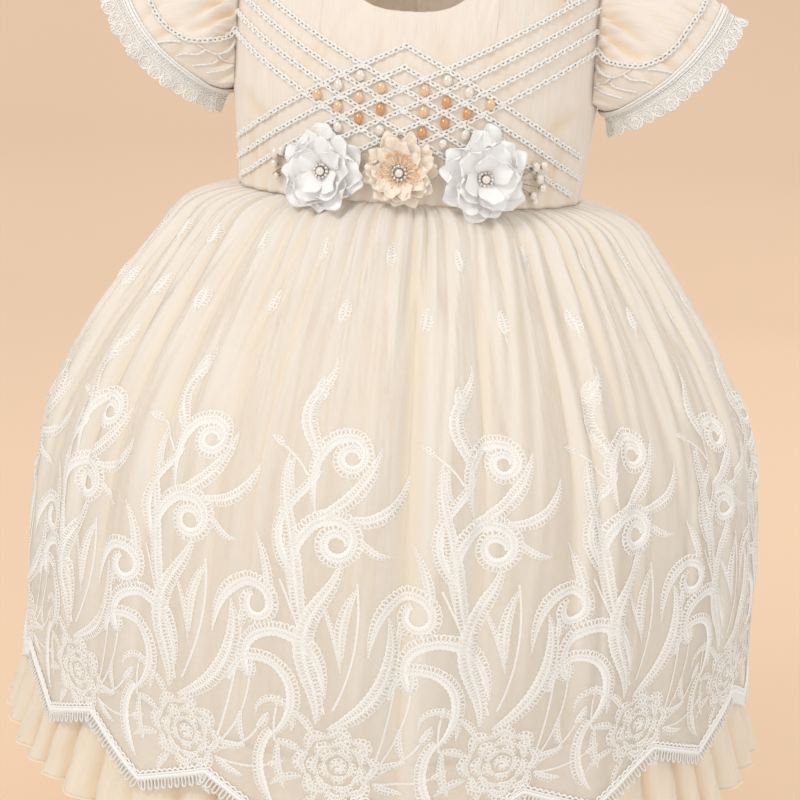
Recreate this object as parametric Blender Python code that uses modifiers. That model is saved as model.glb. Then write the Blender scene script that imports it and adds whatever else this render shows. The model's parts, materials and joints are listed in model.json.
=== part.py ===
"""Christening gown for a child of about one and a half, as solid cloth pieces at their real size.

Metres, +Z up. The front faces -Y and the wearer's left side is at +X. The origin is the point midway
between the two shoulder seams at the neck, where the wearer's shoulders carry the gown.
"""

import math
from collections import namedtuple

import bpy
from mathutils import Matrix, Vector

# Cloth and seams
WALL = 0.0012
NET_WALL = 0.0010
SEAM_GAP = 0.0003
SHOULDER_SEAM_SHORT = 0.0006

# Bodice
WAIST_Z = -0.157
CHEST_Z = -0.100
CHEST_HALF_WIDTH = 0.104
CHEST_HALF_DEPTH = 0.080
WAIST_HALF_WIDTH = 0.098
WAIST_HALF_DEPTH = 0.077
SECTION_POWER = 2.3
ARCH_POWER = 1.9
NECK_HALF_WIDTH = 0.048
NECK_POWER = 3.0
NECK_STEPS = (0.0, 0.006, 0.05, 0.18, 0.40, 0.70)
FRONT_NECK_DROP = 0.055
BACK_NECK_DROP = 0.016
SHOULDER_TIP_X = 0.1005
SHOULDER_TIP_DROP = 0.022
ARMHOLE_DIP = 0.003
PLACKET_LAP = 0.008
PLACKET_STEP = 0.0015
SHOULDER_COLUMNS = 4
UNDERARM_COLUMNS = 4
LOWER_ROWS = 3
UPPER_ROWS = 6
SLOPE_STEP = 0.002

# Buttons: sizes, heights of the back's four, and the turned profile as shares of radius and height
BUTTON_RADIUS = 0.0048
BUTTON_HEIGHT = 0.0026
BUTTON_HEIGHTS = (-0.026, -0.061, -0.096, -0.131)
BUTTON_STEPS = 12
FLOWER_BUTTON_HEIGHT = 0.0034
BUTTON_PROFILE = ((0.0, 1.0), (0.55, 0.96), (0.88, 0.72), (1.0, 0.35), (0.93, 0.0), (0.0, 0.0))

# Sleeves: x and z of the hem's two ends, how the hem opens and droops, and puff as a share of length
SLEEVE_TIP = (0.172, -0.0465)
SLEEVE_UNDERARM = (0.1085, -0.1070)
SLEEVE_HALF_DEPTH = 0.034
SLEEVE_FRONT_DROOP = 0.009
SLEEVE_BACK_DROOP = 0.014
SLEEVE_PUFF = 0.13
SLEEVE_GATHER = 0.018
SLEEVE_GATHERS = 7
SLEEVE_AROUND = 28
SLEEVE_ROWS = 5
PUFF_OUTWARD = 0.25
PUFF_UPWARD = 0.35
ARMHOLE_ROOM = WALL + SEAM_GAP * 2
ARMHOLE_STEPS = 12
UNDERARM_STEPS = 8
SHOULDER_LEAN = 0.01
BAND_WIDTH = 0.0042
BAND_THICKNESS = 0.0008
LACE_WIDTH = 0.0125
LACE_WAVE = 0.0014
LACE_WAVES = 16
LACE_FLARE = 0.30

# Skirt
REPEATS = 16
REPEAT_PHASE = math.radians(-9.0)
NET_AROUND = 128
GATHERS = 32
LINING_AROUND = 40
RUFFLE_WAVES = 48
RUFFLE_AROUND = 192
EDGING_WIDTH = 0.006
EDGING_FLARE = 0.002

# Three cloth flowers sewn on the bodice just above the waist
PETAL_WALL = 0.0010
PETAL_CUP = 0.0065
PETAL_ROWS = 3
PETAL_STRETCH = 0.12
PETAL_NOTCH = 0.30
PETAL_NOTCH_DROP = 0.40
PETAL_ROUND = 0.7
PETAL_CURVE = 1.3

Section = namedtuple("Section", "z rise zigzag half_width half_depth gather fold")
NET_SECTIONS = (
    Section(-0.1573, 0.000, 0.000, 0.0983, 0.0773, 0.0005, 0.00),
    Section(-0.1600, 0.000, 0.000, 0.1160, 0.0800, 0.0010, 0.00),
    Section(-0.1680, 0.000, 0.000, 0.1360, 0.0880, 0.0020, 0.15),
    Section(-0.1830, 0.000, 0.000, 0.1455, 0.1030, 0.0026, 0.45),
    Section(-0.2080, 0.000, 0.000, 0.1620, 0.1260, 0.0026, 0.80),
    Section(-0.2480, 0.002, 0.000, 0.1865, 0.1545, 0.0016, 1.00),
    Section(-0.3000, 0.008, 0.000, 0.2080, 0.1770, 0.0008, 1.00),
    Section(-0.3750, 0.021, 0.004, 0.2160, 0.1915, 0.0003, 0.80),
    Section(-0.4520, 0.034, 0.020, 0.2170, 0.1950, 0.0000, 0.40),
)
LINING_SECTIONS = (
    Section(-0.1576, 0.000, 0.000, 0.0960, 0.0750, 0.0, 0.0),
    Section(-0.1660, 0.000, 0.000, 0.1110, 0.0790, 0.0, 0.0),
    Section(-0.1830, 0.000, 0.000, 0.1310, 0.0925, 0.0, 0.0),
    Section(-0.2080, 0.000, 0.000, 0.1490, 0.1130, 0.0, 0.0),
    Section(-0.2480, 0.002, 0.000, 0.1745, 0.1420, 0.0, 0.0),
    Section(-0.3000, 0.008, 0.000, 0.1965, 0.1650, 0.0, 0.0),
    Section(-0.3700, 0.020, 0.000, 0.2050, 0.1800, 0.0, 0.0),
    Section(-0.4370, 0.034, 0.000, 0.2060, 0.1825, 0.0, 0.0),
)
RUFFLE_SECTIONS = (
    Section(-0.4373, 0.034, 0.000, 0.2062, 0.1827, 0.0008, 0.0),
    Section(-0.4800, 0.038, 0.000, 0.2088, 0.1866, 0.0034, 0.0),
    Section(-0.4960, 0.044, 0.000, 0.2275, 0.2050, 0.0065, 0.0),
)

# Soft folds of the net on the front half, as angles round the skirt; the back half repeats them
Fold = namedtuple("Fold", "at_waist at_hem depth half_width")
FRONT_FOLDS = (
    Fold(-80, -76, 0.0040, 5.0),
    Fold(-64, -58, 0.0032, 4.5),
    Fold(-50, -42, 0.0042, 5.5),
    Fold(-35, -28, 0.0030, 4.5),
    Fold(-20, -15, 0.0036, 4.5),
    Fold(-7, -5, 0.0024, 4.0),
    Fold(6, 7, 0.0052, 4.0),
    Fold(20, 17, 0.0034, 4.5),
    Fold(34, 29, 0.0030, 5.0),
    Fold(50, 44, 0.0042, 5.5),
    Fold(66, 60, 0.0034, 4.5),
    Fold(82, 77, 0.0040, 5.0),
)
BACK_FOLD_TURN = 183.0

# The flowers: place on the front, outer and inner radius, petals, points around and colour
Flower = namedtuple("Flower", "name x z outer_radius inner_radius petals around button_radius colour")
FLOWERS = (
    Flower("flower_right", -0.0420, -0.1415, 0.0235, 0.0150, 5, 20, 0.0047, (0.93, 0.92, 0.90)),
    Flower("flower_middle", 0.0007, -0.1395, 0.0190, 0.0125, 8, 24, 0.0050, (0.93, 0.72, 0.52)),
    Flower("flower_left", 0.0466, -0.1405, 0.0255, 0.0155, 5, 20, 0.0047, (0.93, 0.92, 0.90)),
)

IVORY = (0.86, 0.74, 0.56)
CREAM = (0.89, 0.80, 0.66)
NET_CREAM = (0.90, 0.83, 0.73)
LACE_WHITE = (0.92, 0.89, 0.84)
PEARL = (0.90, 0.86, 0.80)
ANTIQUE_SILVER = (0.42, 0.39, 0.36)


def clear_scene():
    for old in list(bpy.data.objects):
        bpy.data.objects.remove(old)


def new_collection(name):
    collection = bpy.data.collections.new(name)
    bpy.context.scene.collection.children.link(collection)
    return collection


def cloth(name, colour, roughness=0.85, metallic=0.0):
    """A material for one sub-part."""
    material = bpy.data.materials.new(name)
    material.use_nodes = True
    shader = material.node_tree.nodes["Principled BSDF"]
    shader.inputs["Base Color"].default_value = (*colour, 1.0)
    shader.inputs["Roughness"].default_value = roughness
    shader.inputs["Metallic"].default_value = metallic
    return material


def lerp(low, high, share):
    return low + (high - low) * share


def signed_power(value, power):
    return math.copysign(abs(value) ** power, value)


def add_object(name, points, faces, material, collection):
    mesh = bpy.data.meshes.new(name)
    mesh.from_pydata(points, [], faces)
    mesh.update()
    mesh.materials.append(material)
    mesh.shade_smooth()
    part = bpy.data.objects.new(name, mesh)
    collection.objects.link(part)
    return part


def thicken(part, wall, side=-1.0):
    """Turns an open surface into cloth: side -1 keeps the surface as the outer face."""
    solidify = part.modifiers.new("cloth", "SOLIDIFY")
    solidify.thickness = wall
    solidify.offset = side
    solidify.use_even_offset = True
    solidify.use_quality_normals = True
    return part


def sheet_from_columns(name, columns, wall, material, collection, side=-1.0):
    """Cloth from columns of points, bottom to top. Neighbours share faces as far as the shorter one goes."""
    points = []
    starts = []
    for column in columns:
        starts.append(len(points))
        points.extend(column)
    faces = []
    for i in range(len(columns) - 1):
        for row in range(min(len(columns[i]), len(columns[i + 1])) - 1):
            low_a = starts[i] + row
            low_b = starts[i + 1] + row
            faces.append((low_a, low_b, low_b + 1, low_a + 1))
    return thicken(add_object(name, points, faces, material, collection), wall, side)


def tube_from_rings(name, rings, wall, material, collection, side=-1.0):
    """Cloth that runs all the way round, from rings with the same number of points, top to bottom."""
    around = len(rings[0])
    points = [point for ring in rings for point in ring]
    faces = []
    for row in range(len(rings) - 1):
        for i in range(around):
            j = (i + 1) % around
            upper = row * around
            lower = upper + around
            faces.append((upper + i, lower + i, lower + j, upper + j))
    return thicken(add_object(name, points, faces, material, collection), wall, side)


def chest_depth_at(x):
    """How far the chest section reaches forward at x."""
    share = min(1.0, abs(x) / CHEST_HALF_WIDTH)
    return CHEST_HALF_DEPTH * (1.0 - share**SECTION_POWER) ** (1.0 / SECTION_POWER)


def chest_x_at(depth):
    share = min(1.0, abs(depth) / CHEST_HALF_DEPTH)
    return CHEST_HALF_WIDTH * (1.0 - share**SECTION_POWER) ** (1.0 / SECTION_POWER)


def shoulder_line_z(x):
    """Height of the shoulder seam, which slopes from the neck to the shoulder tip."""
    share = (abs(x) - NECK_HALF_WIDTH) / (SHOULDER_TIP_X - NECK_HALF_WIDTH)
    return -SHOULDER_TIP_DROP * max(0.0, share)


def neck_x(share):
    """Where the neckline is across the front; share is 0 at its lowest point and 1 at the shoulder seam."""
    return NECK_HALF_WIDTH * (1.0 - (1.0 - share) ** NECK_POWER) ** (1.0 / NECK_POWER)


def neck_angle(x, drop):
    """Turn along the arch over the shoulder at which the column at x meets the neckline."""
    lowest = math.asin(((CHEST_Z + drop) / CHEST_Z) ** (ARCH_POWER / 2.0))
    share = 1.0 - (1.0 - min(1.0, abs(x) / NECK_HALF_WIDTH) ** NECK_POWER) ** (1.0 / NECK_POWER)
    return lerp(lowest, math.pi / 2, share)


def lower_point(x, depth, z):
    """Between waist and chest: the chest point (x, depth) eased in to the waist."""
    share = (z - WAIST_Z) / (CHEST_Z - WAIST_Z)
    width = lerp(WAIST_HALF_WIDTH, CHEST_HALF_WIDTH, share) / CHEST_HALF_WIDTH
    deep = lerp(WAIST_HALF_DEPTH, CHEST_HALF_DEPTH, share) / CHEST_HALF_DEPTH
    return Vector((x * width, -depth * deep, z))


def arch_angle(x, z):
    """Turn along the arch over the shoulder at which the height z is reached."""
    rise = (z - CHEST_Z) / (shoulder_line_z(x) - CHEST_Z)
    return math.asin(min(1.0, max(0.0, rise)) ** (ARCH_POWER / 2.0))


def upper_point(x, angle):
    """Above the chest: the cloth arches back over the shoulder as angle goes from 0 to a quarter turn."""
    forward = chest_depth_at(x) * signed_power(math.cos(angle), 2.0 / ARCH_POWER)
    up = (shoulder_line_z(x) - CHEST_Z) * signed_power(math.sin(angle), 2.0 / ARCH_POWER)
    return Vector((x, -forward, CHEST_Z + up))


def body_column(x, neck_drop):
    """One column of a bodice panel at x, from the waist to the neckline or the shoulder seam."""
    depth = chest_depth_at(x)
    column = []
    for row in range(LOWER_ROWS):
        column.append(lower_point(x, depth, lerp(WAIST_Z, CHEST_Z, row / LOWER_ROWS)))
    top = neck_angle(x, neck_drop)
    for row in range(UPPER_ROWS + 1):
        column.append(upper_point(x, top * row / UPPER_ROWS))
    keep_seam_open(column)
    return column


def keep_seam_open(column):
    """The shoulder seam lies on y = 0. Each panel stops short of it, as the wall leans in below its edge."""
    for point in column:
        point.y = min(point.y, -SHOULDER_SEAM_SHORT)


def underarm_column(side, share):
    """A column below the armhole, share 0 at its front corner and 1 at the side seam."""
    depth = max(SEAM_GAP / 2, chest_depth_at(SHOULDER_TIP_X) * (1.0 - share))
    x = side * chest_x_at(depth)
    top = CHEST_Z - ARMHOLE_DIP * math.sin(share * math.pi / 2)
    column = [lower_point(x, depth, lerp(WAIST_Z, top, row / LOWER_ROWS)) for row in range(LOWER_ROWS)]
    column.append(lower_point(x, depth, top))
    return column


def half_panel_columns(side, neck_drop):
    """Columns of half a panel from the centre line to the side seam."""
    columns = [body_column(side * neck_x(share), neck_drop) for share in NECK_STEPS]
    for i in range(SHOULDER_COLUMNS + 1):
        x = lerp(NECK_HALF_WIDTH, SHOULDER_TIP_X, i / SHOULDER_COLUMNS)
        columns.append(body_column(side * x, neck_drop))
    for i in range(1, UNDERARM_COLUMNS + 1):
        columns.append(underarm_column(side, i / UNDERARM_COLUMNS))
    return columns


def turned_to_back(columns):
    return [[Vector((p.x, -p.y, p.z)) for p in column] for column in columns]


def make_bodice_front(material, collection):
    right = half_panel_columns(-1, FRONT_NECK_DROP)
    left = half_panel_columns(1, FRONT_NECK_DROP)
    columns = right[::-1] + left[1:]
    return sheet_from_columns("bodice_front", columns, WALL, material, collection)


def moved_in(column, distance):
    """A back column moved towards the wearer, square to its own profile."""
    across = Vector((1, 0, 0))
    moved = []
    for i, point in enumerate(column):
        along = column[min(i + 1, len(column) - 1)] - column[max(i - 1, 0)]
        outward = along.cross(across).normalized()
        moved.append(point - outward * distance)
    return moved


def make_bodice_back(name, side, tucked, material, collection):
    """Half of the back. It runs past the centre line by the placket's lap, tucked under or lying over."""
    columns = turned_to_back(half_panel_columns(side, BACK_NECK_DROP))
    lap = [-side * PLACKET_LAP]
    if tucked:
        lap += [0.0, side * (PLACKET_LAP + PLACKET_STEP)]
        columns.pop(0)
    lap_columns = turned_to_back([body_column(x, BACK_NECK_DROP) for x in lap])
    if tucked:
        lap_columns = [moved_in(column, WALL + SEAM_GAP * 1.5) for column in lap_columns]
    columns = lap_columns + columns
    if side > 0:
        columns.reverse()
    return sheet_from_columns(name, columns, WALL, material, collection)


def place_on_back(z):
    """Point and outward direction on the back's centre line at height z."""
    here = upper_or_lower(0.0, z)
    above = upper_or_lower(0.0, z + SLOPE_STEP)
    along = (above - here).normalized()
    point = Vector((here.x, -here.y, here.z))
    normal = Vector((0.0, along.z, along.y))
    return point, normal.normalized()


def upper_or_lower(x, z):
    """Point of the front surface at x and height z."""
    if z < CHEST_Z:
        return lower_point(x, chest_depth_at(x), z)
    return upper_point(x, arch_angle(x, z))


def make_button(name, centre, normal, radius, height, material, collection):
    """A turned button: a profile from its outer face to its back, spun round the local Z axis."""
    points = [Vector((radius * out, 0.0, height * up)) for out, up in BUTTON_PROFILE]
    mesh = bpy.data.meshes.new(name)
    mesh.from_pydata(points, [(i, i + 1) for i in range(len(points) - 1)], [])
    mesh.materials.append(material)
    button = bpy.data.objects.new(name, mesh)
    collection.objects.link(button)
    screw = button.modifiers.new("turn", "SCREW")
    screw.steps = BUTTON_STEPS
    screw.render_steps = BUTTON_STEPS
    screw.use_merge_vertices = True
    screw.merge_threshold = 0.0001
    button.location = centre
    button.rotation_mode = "QUATERNION"
    button.rotation_quaternion = normal.to_track_quat("Z", "Y")
    return button


def make_back_buttons(material, collection):
    for number, z in enumerate(BUTTON_HEIGHTS, start=1):
        point, normal = place_on_back(z)
        seat = point + normal * SEAM_GAP
        make_button(f"back_button_{number}", seat, normal, BUTTON_RADIUS, BUTTON_HEIGHT, material, collection)


def armhole_loop(side):
    """The armhole's edge, from the shoulder tip down the front, under the arm and up the back."""
    x = side * SHOULDER_TIP_X
    front = [upper_point(x, math.pi / 2 * (1 - i / ARMHOLE_STEPS)) for i in range(ARMHOLE_STEPS)]
    under = [underarm_column(side, i / UNDERARM_STEPS)[-1] for i in range(UNDERARM_STEPS + 1)]
    half = front + under
    back = [Vector((p.x, -p.y, p.z)) for p in reversed(half[1:-1])]
    return half + back


def resample_loop(loop, count):
    """The same closed loop with count points, evenly spaced along it from its first point."""
    lengths = [0.0]
    closed = loop + [loop[0]]
    for a, b in zip(closed, closed[1:]):
        lengths.append(lengths[-1] + (b - a).length)
    result = []
    segment = 0
    for i in range(count):
        target = lengths[-1] * i / count
        while lengths[segment + 1] < target:
            segment += 1
        share = (target - lengths[segment]) / (lengths[segment + 1] - lengths[segment])
        result.append(closed[segment].lerp(closed[segment + 1], share))
    return result


def armhole_outward(point, side):
    """Direction square to the bodice's surface at its armhole edge."""
    across = (abs(point.x) / CHEST_HALF_WIDTH) ** (SECTION_POWER - 1) / CHEST_HALF_WIDTH
    along = (abs(point.y) / CHEST_HALF_DEPTH) ** (SECTION_POWER - 1) / CHEST_HALF_DEPTH
    up = max(0.0, (point.z - CHEST_Z) / (-SHOULDER_TIP_DROP - CHEST_Z)) ** 2
    direction = Vector((side * across, math.copysign(along, point.y), up * SHOULDER_LEAN))
    return direction.normalized()


def sleeve_axis(side):
    """The way the sleeve's opening faces: square to the line from its underarm to its tip, down and out."""
    rise = SLEEVE_TIP[1] - SLEEVE_UNDERARM[1]
    reach = SLEEVE_TIP[0] - SLEEVE_UNDERARM[0]
    return Vector((side * rise, 0, -reach)).normalized()


def sleeve_hem_point(side, turn):
    """The sleeve's lower edge; turn 0 is over the arm, a quarter turn is the front, half is the underarm."""
    tip = Vector((side * SLEEVE_TIP[0], 0, SLEEVE_TIP[1]))
    underarm = Vector((side * SLEEVE_UNDERARM[0], 0, SLEEVE_UNDERARM[1]))
    droop = SLEEVE_FRONT_DROOP if math.sin(turn) > 0 else SLEEVE_BACK_DROOP
    point = (tip + underarm) / 2 + (tip - underarm) / 2 * math.cos(turn)
    point += sleeve_axis(side) * droop * math.sin(turn) ** 2
    point.y = -SLEEVE_HALF_DEPTH * math.sin(turn)
    return point


def sleeve_rings(side, around, shares):
    """Rings of the sleeve at shares of its length, 0 at the armhole and 1 at its hem."""
    start = resample_loop(armhole_loop(side), around)
    rings = []
    for share in shares:
        ring = []
        for i in range(around):
            turn = math.tau * i / around
            seam = start[i] + armhole_outward(start[i], side) * ARMHOLE_ROOM
            hem = sleeve_hem_point(side, turn)
            point = seam.lerp(hem, share)
            lift = PUFF_UPWARD + (1 - PUFF_UPWARD) * math.cos(turn)
            away = Vector((side * PUFF_OUTWARD, -math.sin(turn), lift)).normalized()
            bulge = SLEEVE_PUFF * 4 * share * (1 - share)
            gather = SLEEVE_GATHER * math.cos(SLEEVE_GATHERS * turn) * math.sin(math.pi * share) ** 2
            ring.append(point + away * (hem - seam).length * (bulge + gather))
        rings.append(ring)
    return rings


def make_sleeve(name, side, materials, collection):
    shares = [i / SLEEVE_ROWS for i in range(SLEEVE_ROWS + 1)]
    rings = sleeve_rings(side, SLEEVE_AROUND, shares)
    if side > 0:
        rings = [ring[::-1] for ring in rings]
    tube_from_rings(f"sleeve_{name}", rings, WALL, materials["ivory"], collection)
    make_sleeve_band(name, side, materials["lace"], collection)
    make_sleeve_lace(name, side, materials["lace"], collection)


def outward_from_hem(hem, i, down, side):
    """Square to the hem's edge at point i and to the way the cloth runs there."""
    along = (hem[(i + 1) % len(hem)] - hem[i - 1]).normalized()
    return along.cross(down).normalized() * side


def make_sleeve_band(name, side, material, collection):
    """A flat braid on the outside of the sleeve, just above its hem."""
    above, hem = sleeve_rings(side, SLEEVE_AROUND, (1 - 1 / SLEEVE_ROWS, 1.0))
    rings = [[], []]
    for i in range(SLEEVE_AROUND):
        down = (hem[i] - above[i]).normalized()
        lift = outward_from_hem(hem, i, down, side) * SEAM_GAP * 3
        rings[0].append(hem[i] - down * (BAND_WIDTH + SEAM_GAP * 2) + lift)
        rings[1].append(hem[i] - down * SEAM_GAP * 2 + lift)
    if side > 0:
        rings = [ring[::-1] for ring in rings]
    tube_from_rings(f"sleeve_band_{name}", rings, BAND_THICKNESS, material, collection, side=1.0)


def make_sleeve_lace(name, side, material, collection):
    """A gathered lace edging that runs on from the sleeve's hem."""
    around = LACE_WAVES * 4
    above, hem = sleeve_rings(side, around, (1 - 1 / SLEEVE_ROWS, 1.0))
    rings = [[], []]
    for i in range(around):
        over_arm = 0.5 + 0.5 * math.cos(math.tau * i / around)
        down = sleeve_axis(side).lerp((hem[i] - above[i]).normalized(), over_arm / 2).normalized()
        out = outward_from_hem(hem, i, down, side)
        wave = math.cos(math.tau * LACE_WAVES * i / around)
        start = hem[i] + down * SEAM_GAP * 2
        rings[0].append(start)
        rings[1].append(start + down * LACE_WIDTH + out * (LACE_FLARE * LACE_WIDTH + LACE_WAVE * wave))
    if side > 0:
        rings = [ring[::-1] for ring in rings]
    tube_from_rings(f"sleeve_lace_{name}", rings, NET_WALL, material, collection)


def zigzag(turn):
    """0 at a notch of the hem and 1 at a point, sixteen times round."""
    share = ((turn - REPEAT_PHASE) / (math.tau / REPEATS)) % 1.0
    return abs(2 * share - 1)


def angle_between(a, b):
    return (a - b + 180.0) % 360.0 - 180.0


def fold_depth(turn, down):
    """How far the net's soft folds draw it in at this angle; down is 0 at the waist and 1 at the hem."""
    degrees = math.degrees(turn)
    depth = 0.0
    for back in (0.0, BACK_FOLD_TURN):
        for fold in FRONT_FOLDS:
            centre = lerp(fold.at_waist, fold.at_hem, down) + back
            away = angle_between(degrees, centre) / fold.half_width
            depth += fold.depth * math.exp(-(away**2))
    return depth


def skirt_ring(section, sections, around, waves):
    """One ring of a skirt piece from its section row."""
    top = sections[0].z
    down = (section.z - top) / (sections[-1].z - top)
    ring = []
    for i in range(around):
        turn = REPEAT_PHASE + math.tau * i / around
        wave = section.gather * math.cos(waves * (turn - REPEAT_PHASE))
        inward = section.fold * fold_depth(turn, down) if section.fold else 0.0
        out = wave - inward
        x = (section.half_width + out) * math.sin(turn)
        y = -(section.half_depth + out) * math.cos(turn)
        z = section.z + section.rise * math.sin(turn) ** 2 - section.zigzag * zigzag(turn)
        ring.append(Vector((x, y, z)))
    return ring


def make_net_skirt(material, collection):
    rings = [skirt_ring(section, NET_SECTIONS, NET_AROUND, GATHERS) for section in NET_SECTIONS]
    return tube_from_rings("net_skirt", rings, NET_WALL, material, collection)


def make_net_edging(material, collection):
    """The looped edging that follows the net's zigzag hem."""
    hem = skirt_ring(NET_SECTIONS[-1], NET_SECTIONS, NET_AROUND, GATHERS)
    upper = []
    lower = []
    for point in hem:
        out = Vector((point.x, point.y, 0)).normalized()
        upper.append(point + Vector((0, 0, -SEAM_GAP)))
        lower.append(point + Vector((0, 0, -EDGING_WIDTH)) + out * EDGING_FLARE)
    return tube_from_rings("net_edging", [upper, lower], NET_WALL, material, collection)


def make_lining_skirt(material, collection):
    rings = [skirt_ring(section, LINING_SECTIONS, LINING_AROUND, 0) for section in LINING_SECTIONS]
    return tube_from_rings("lining_skirt", rings, WALL, material, collection)


def make_hem_ruffle(material, collection):
    rings = [skirt_ring(section, RUFFLE_SECTIONS, RUFFLE_AROUND, RUFFLE_WAVES) for section in RUFFLE_SECTIONS]
    return tube_from_rings("hem_ruffle", rings, NET_WALL, material, collection)


def front_outward(x, z):
    """Direction square to the bodice front at x and height z, level."""
    along = (upper_or_lower(x + SLOPE_STEP, z) - upper_or_lower(x - SLOPE_STEP, z)).normalized()
    return Vector((along.y, -along.x, 0.0)).normalized()


def flower_frame(flower):
    """Seat of a flower on the bodice: the matrix that turns local Z outwards and local Y up."""
    normal = front_outward(flower.x, flower.z)
    across = Vector((-normal.y, normal.x, 0.0))
    seat = upper_or_lower(flower.x, flower.z) + normal * SEAM_GAP * 2
    turn = Matrix((across, Vector((0, 0, 1)), normal)).transposed().to_4x4()
    return Matrix.Translation(seat) @ turn


def petal_layer(radius, petals, flat_radius, phase, around):
    """A ring of petals cut in one piece: flat under the button, then an open cup notched between petals."""
    points = [Vector((0, 0, 0))]
    for row in range(1, PETAL_ROWS + 1):
        share = (row - 1) / (PETAL_ROWS - 1)
        reach = lerp(flat_radius, radius, share)
        for i in range(around):
            turn = math.tau * i / around
            notch = 1 - abs(math.cos(petals * (turn - math.pi / 2) / 2 + phase)) ** PETAL_ROUND
            longer_above = 1 + PETAL_STRETCH * math.sin(turn)
            length = reach * longer_above * (1 - PETAL_NOTCH * share * notch)
            height = PETAL_CUP * share**PETAL_CURVE * (1 - PETAL_NOTCH_DROP * notch)
            points.append(Vector((length * math.cos(turn), length * math.sin(turn), height)))
    faces = []
    for i in range(around):
        j = (i + 1) % around
        faces.append((0, 1 + i, 1 + j))
        for row in range(PETAL_ROWS - 1):
            inner = 1 + row * around
            outer = inner + around
            faces.append((inner + i, outer + i, outer + j, inner + j))
    return points, faces


def make_flower(flower, materials, collection):
    """Two rings of petals and a metal button, one on the other."""
    place = flower_frame(flower)
    colour = cloth(f"{flower.name}_petals", flower.colour, 0.7)
    flat_radius = flower.button_radius * 1.1
    level = PETAL_WALL
    layers = (("outer", flower.outer_radius, 0.0), ("inner", flower.inner_radius, math.pi / 2))
    for label, radius, phase in layers:
        points, faces = petal_layer(radius, flower.petals, flat_radius, phase, flower.around)
        layer = add_object(f"{flower.name}_{label}", points, faces, colour, collection)
        layer.matrix_world = place @ Matrix.Translation((0, 0, level))
        thicken(layer, PETAL_WALL)
        level += PETAL_WALL + SEAM_GAP * 2
    normal = (place.to_3x3() @ Vector((0, 0, 1))).normalized()
    seat = place @ Vector((0, 0, level - PETAL_WALL))
    radius = flower.button_radius
    silver = materials["silver"]
    make_button(f"{flower.name}_button", seat, normal, radius, FLOWER_BUTTON_HEIGHT, silver, collection)


def build():
    clear_scene()
    collection = new_collection("christening_gown")
    materials = {
        "ivory": cloth("ivory_cotton_satin", IVORY, 0.6),
        "cream": cloth("cream_bodice_cloth", CREAM, 0.8),
        "net": cloth("cream_net", NET_CREAM, 0.9),
        "lace": cloth("white_lace", LACE_WHITE, 0.85),
        "pearl": cloth("pearl_button", PEARL, 0.25),
        "silver": cloth("antique_silver", ANTIQUE_SILVER, 0.35, 0.9),
    }
    make_bodice_front(materials["cream"], collection)
    make_bodice_back("bodice_back_left", 1, True, materials["cream"], collection)
    make_bodice_back("bodice_back_right", -1, False, materials["cream"], collection)
    make_back_buttons(materials["pearl"], collection)
    make_sleeve("left", 1, materials, collection)
    make_sleeve("right", -1, materials, collection)
    make_net_skirt(materials["net"], collection)
    make_net_edging(materials["lace"], collection)
    make_lining_skirt(materials["ivory"], collection)
    make_hem_ruffle(materials["ivory"], collection)
    for flower in FLOWERS:
        make_flower(flower, materials, collection)


build()
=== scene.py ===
# %% [markdown]
# # A christening gown in cream cotton satin and embroidered net
# The gown has a plain bodice trimmed with looped braid and pearls, puffed sleeves edged with cotton lace,
# three cloth flowers at the waist, and a full skirt: an embroidered net over a satin lining with a ruffle.
# Each piece is made here the way a dressmaker would: the cloth first, then the trims laid on the cloth.
# The solids that come with the gown fix every size and place, and they are loaded before anything else.

# %% Load the solids that the gown is dressed on
import json
import math

import bmesh
import bpy
import numpy as np
from mathutils import Matrix, Vector

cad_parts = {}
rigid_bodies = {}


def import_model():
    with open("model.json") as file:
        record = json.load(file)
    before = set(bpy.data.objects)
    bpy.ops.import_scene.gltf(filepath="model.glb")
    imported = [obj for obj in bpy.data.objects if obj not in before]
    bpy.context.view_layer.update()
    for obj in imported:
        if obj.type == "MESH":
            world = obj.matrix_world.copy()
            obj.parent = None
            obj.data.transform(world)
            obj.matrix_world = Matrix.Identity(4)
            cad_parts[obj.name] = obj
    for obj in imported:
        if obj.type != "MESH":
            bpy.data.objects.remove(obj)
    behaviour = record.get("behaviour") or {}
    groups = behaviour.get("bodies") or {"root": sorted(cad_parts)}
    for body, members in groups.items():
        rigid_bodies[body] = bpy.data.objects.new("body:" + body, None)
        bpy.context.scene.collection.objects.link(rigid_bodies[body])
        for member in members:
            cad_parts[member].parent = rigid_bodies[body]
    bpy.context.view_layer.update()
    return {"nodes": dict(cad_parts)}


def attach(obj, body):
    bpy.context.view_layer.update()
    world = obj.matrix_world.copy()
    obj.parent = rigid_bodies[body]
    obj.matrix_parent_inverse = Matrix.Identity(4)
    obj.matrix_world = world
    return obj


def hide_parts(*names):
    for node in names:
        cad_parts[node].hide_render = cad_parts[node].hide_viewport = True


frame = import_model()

# %% [markdown]
# ## Camera, floor and light
# The gown is seen from a little to its left and from above, with a longish lens, so the skirt looms a bit
# and the neck is cut by the top edge. The floor is a wide shallow bowl in one colour, which works as the
# seamless paper of a studio: from any side the background is the same, and no horizon shows.

# %% Camera
FOCAL_PIXELS = 1897
IMAGE_SIDE = 800
SENSOR = 36.0
CAMERA_DISTANCE = 1.100
CAMERA_HEIGHT = -0.042
CAMERA_TURN = math.radians(4.8)
CAMERA_DIP = math.radians(12.3)
CAMERA_ROLL = math.radians(3.2)
CAMERA_SHIFT = 0.0019

scene = bpy.context.scene


def linked(name, data):
    """A new object with this data, in the scene."""
    made = bpy.data.objects.new(name, data)
    scene.collection.objects.link(made)
    return made


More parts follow.
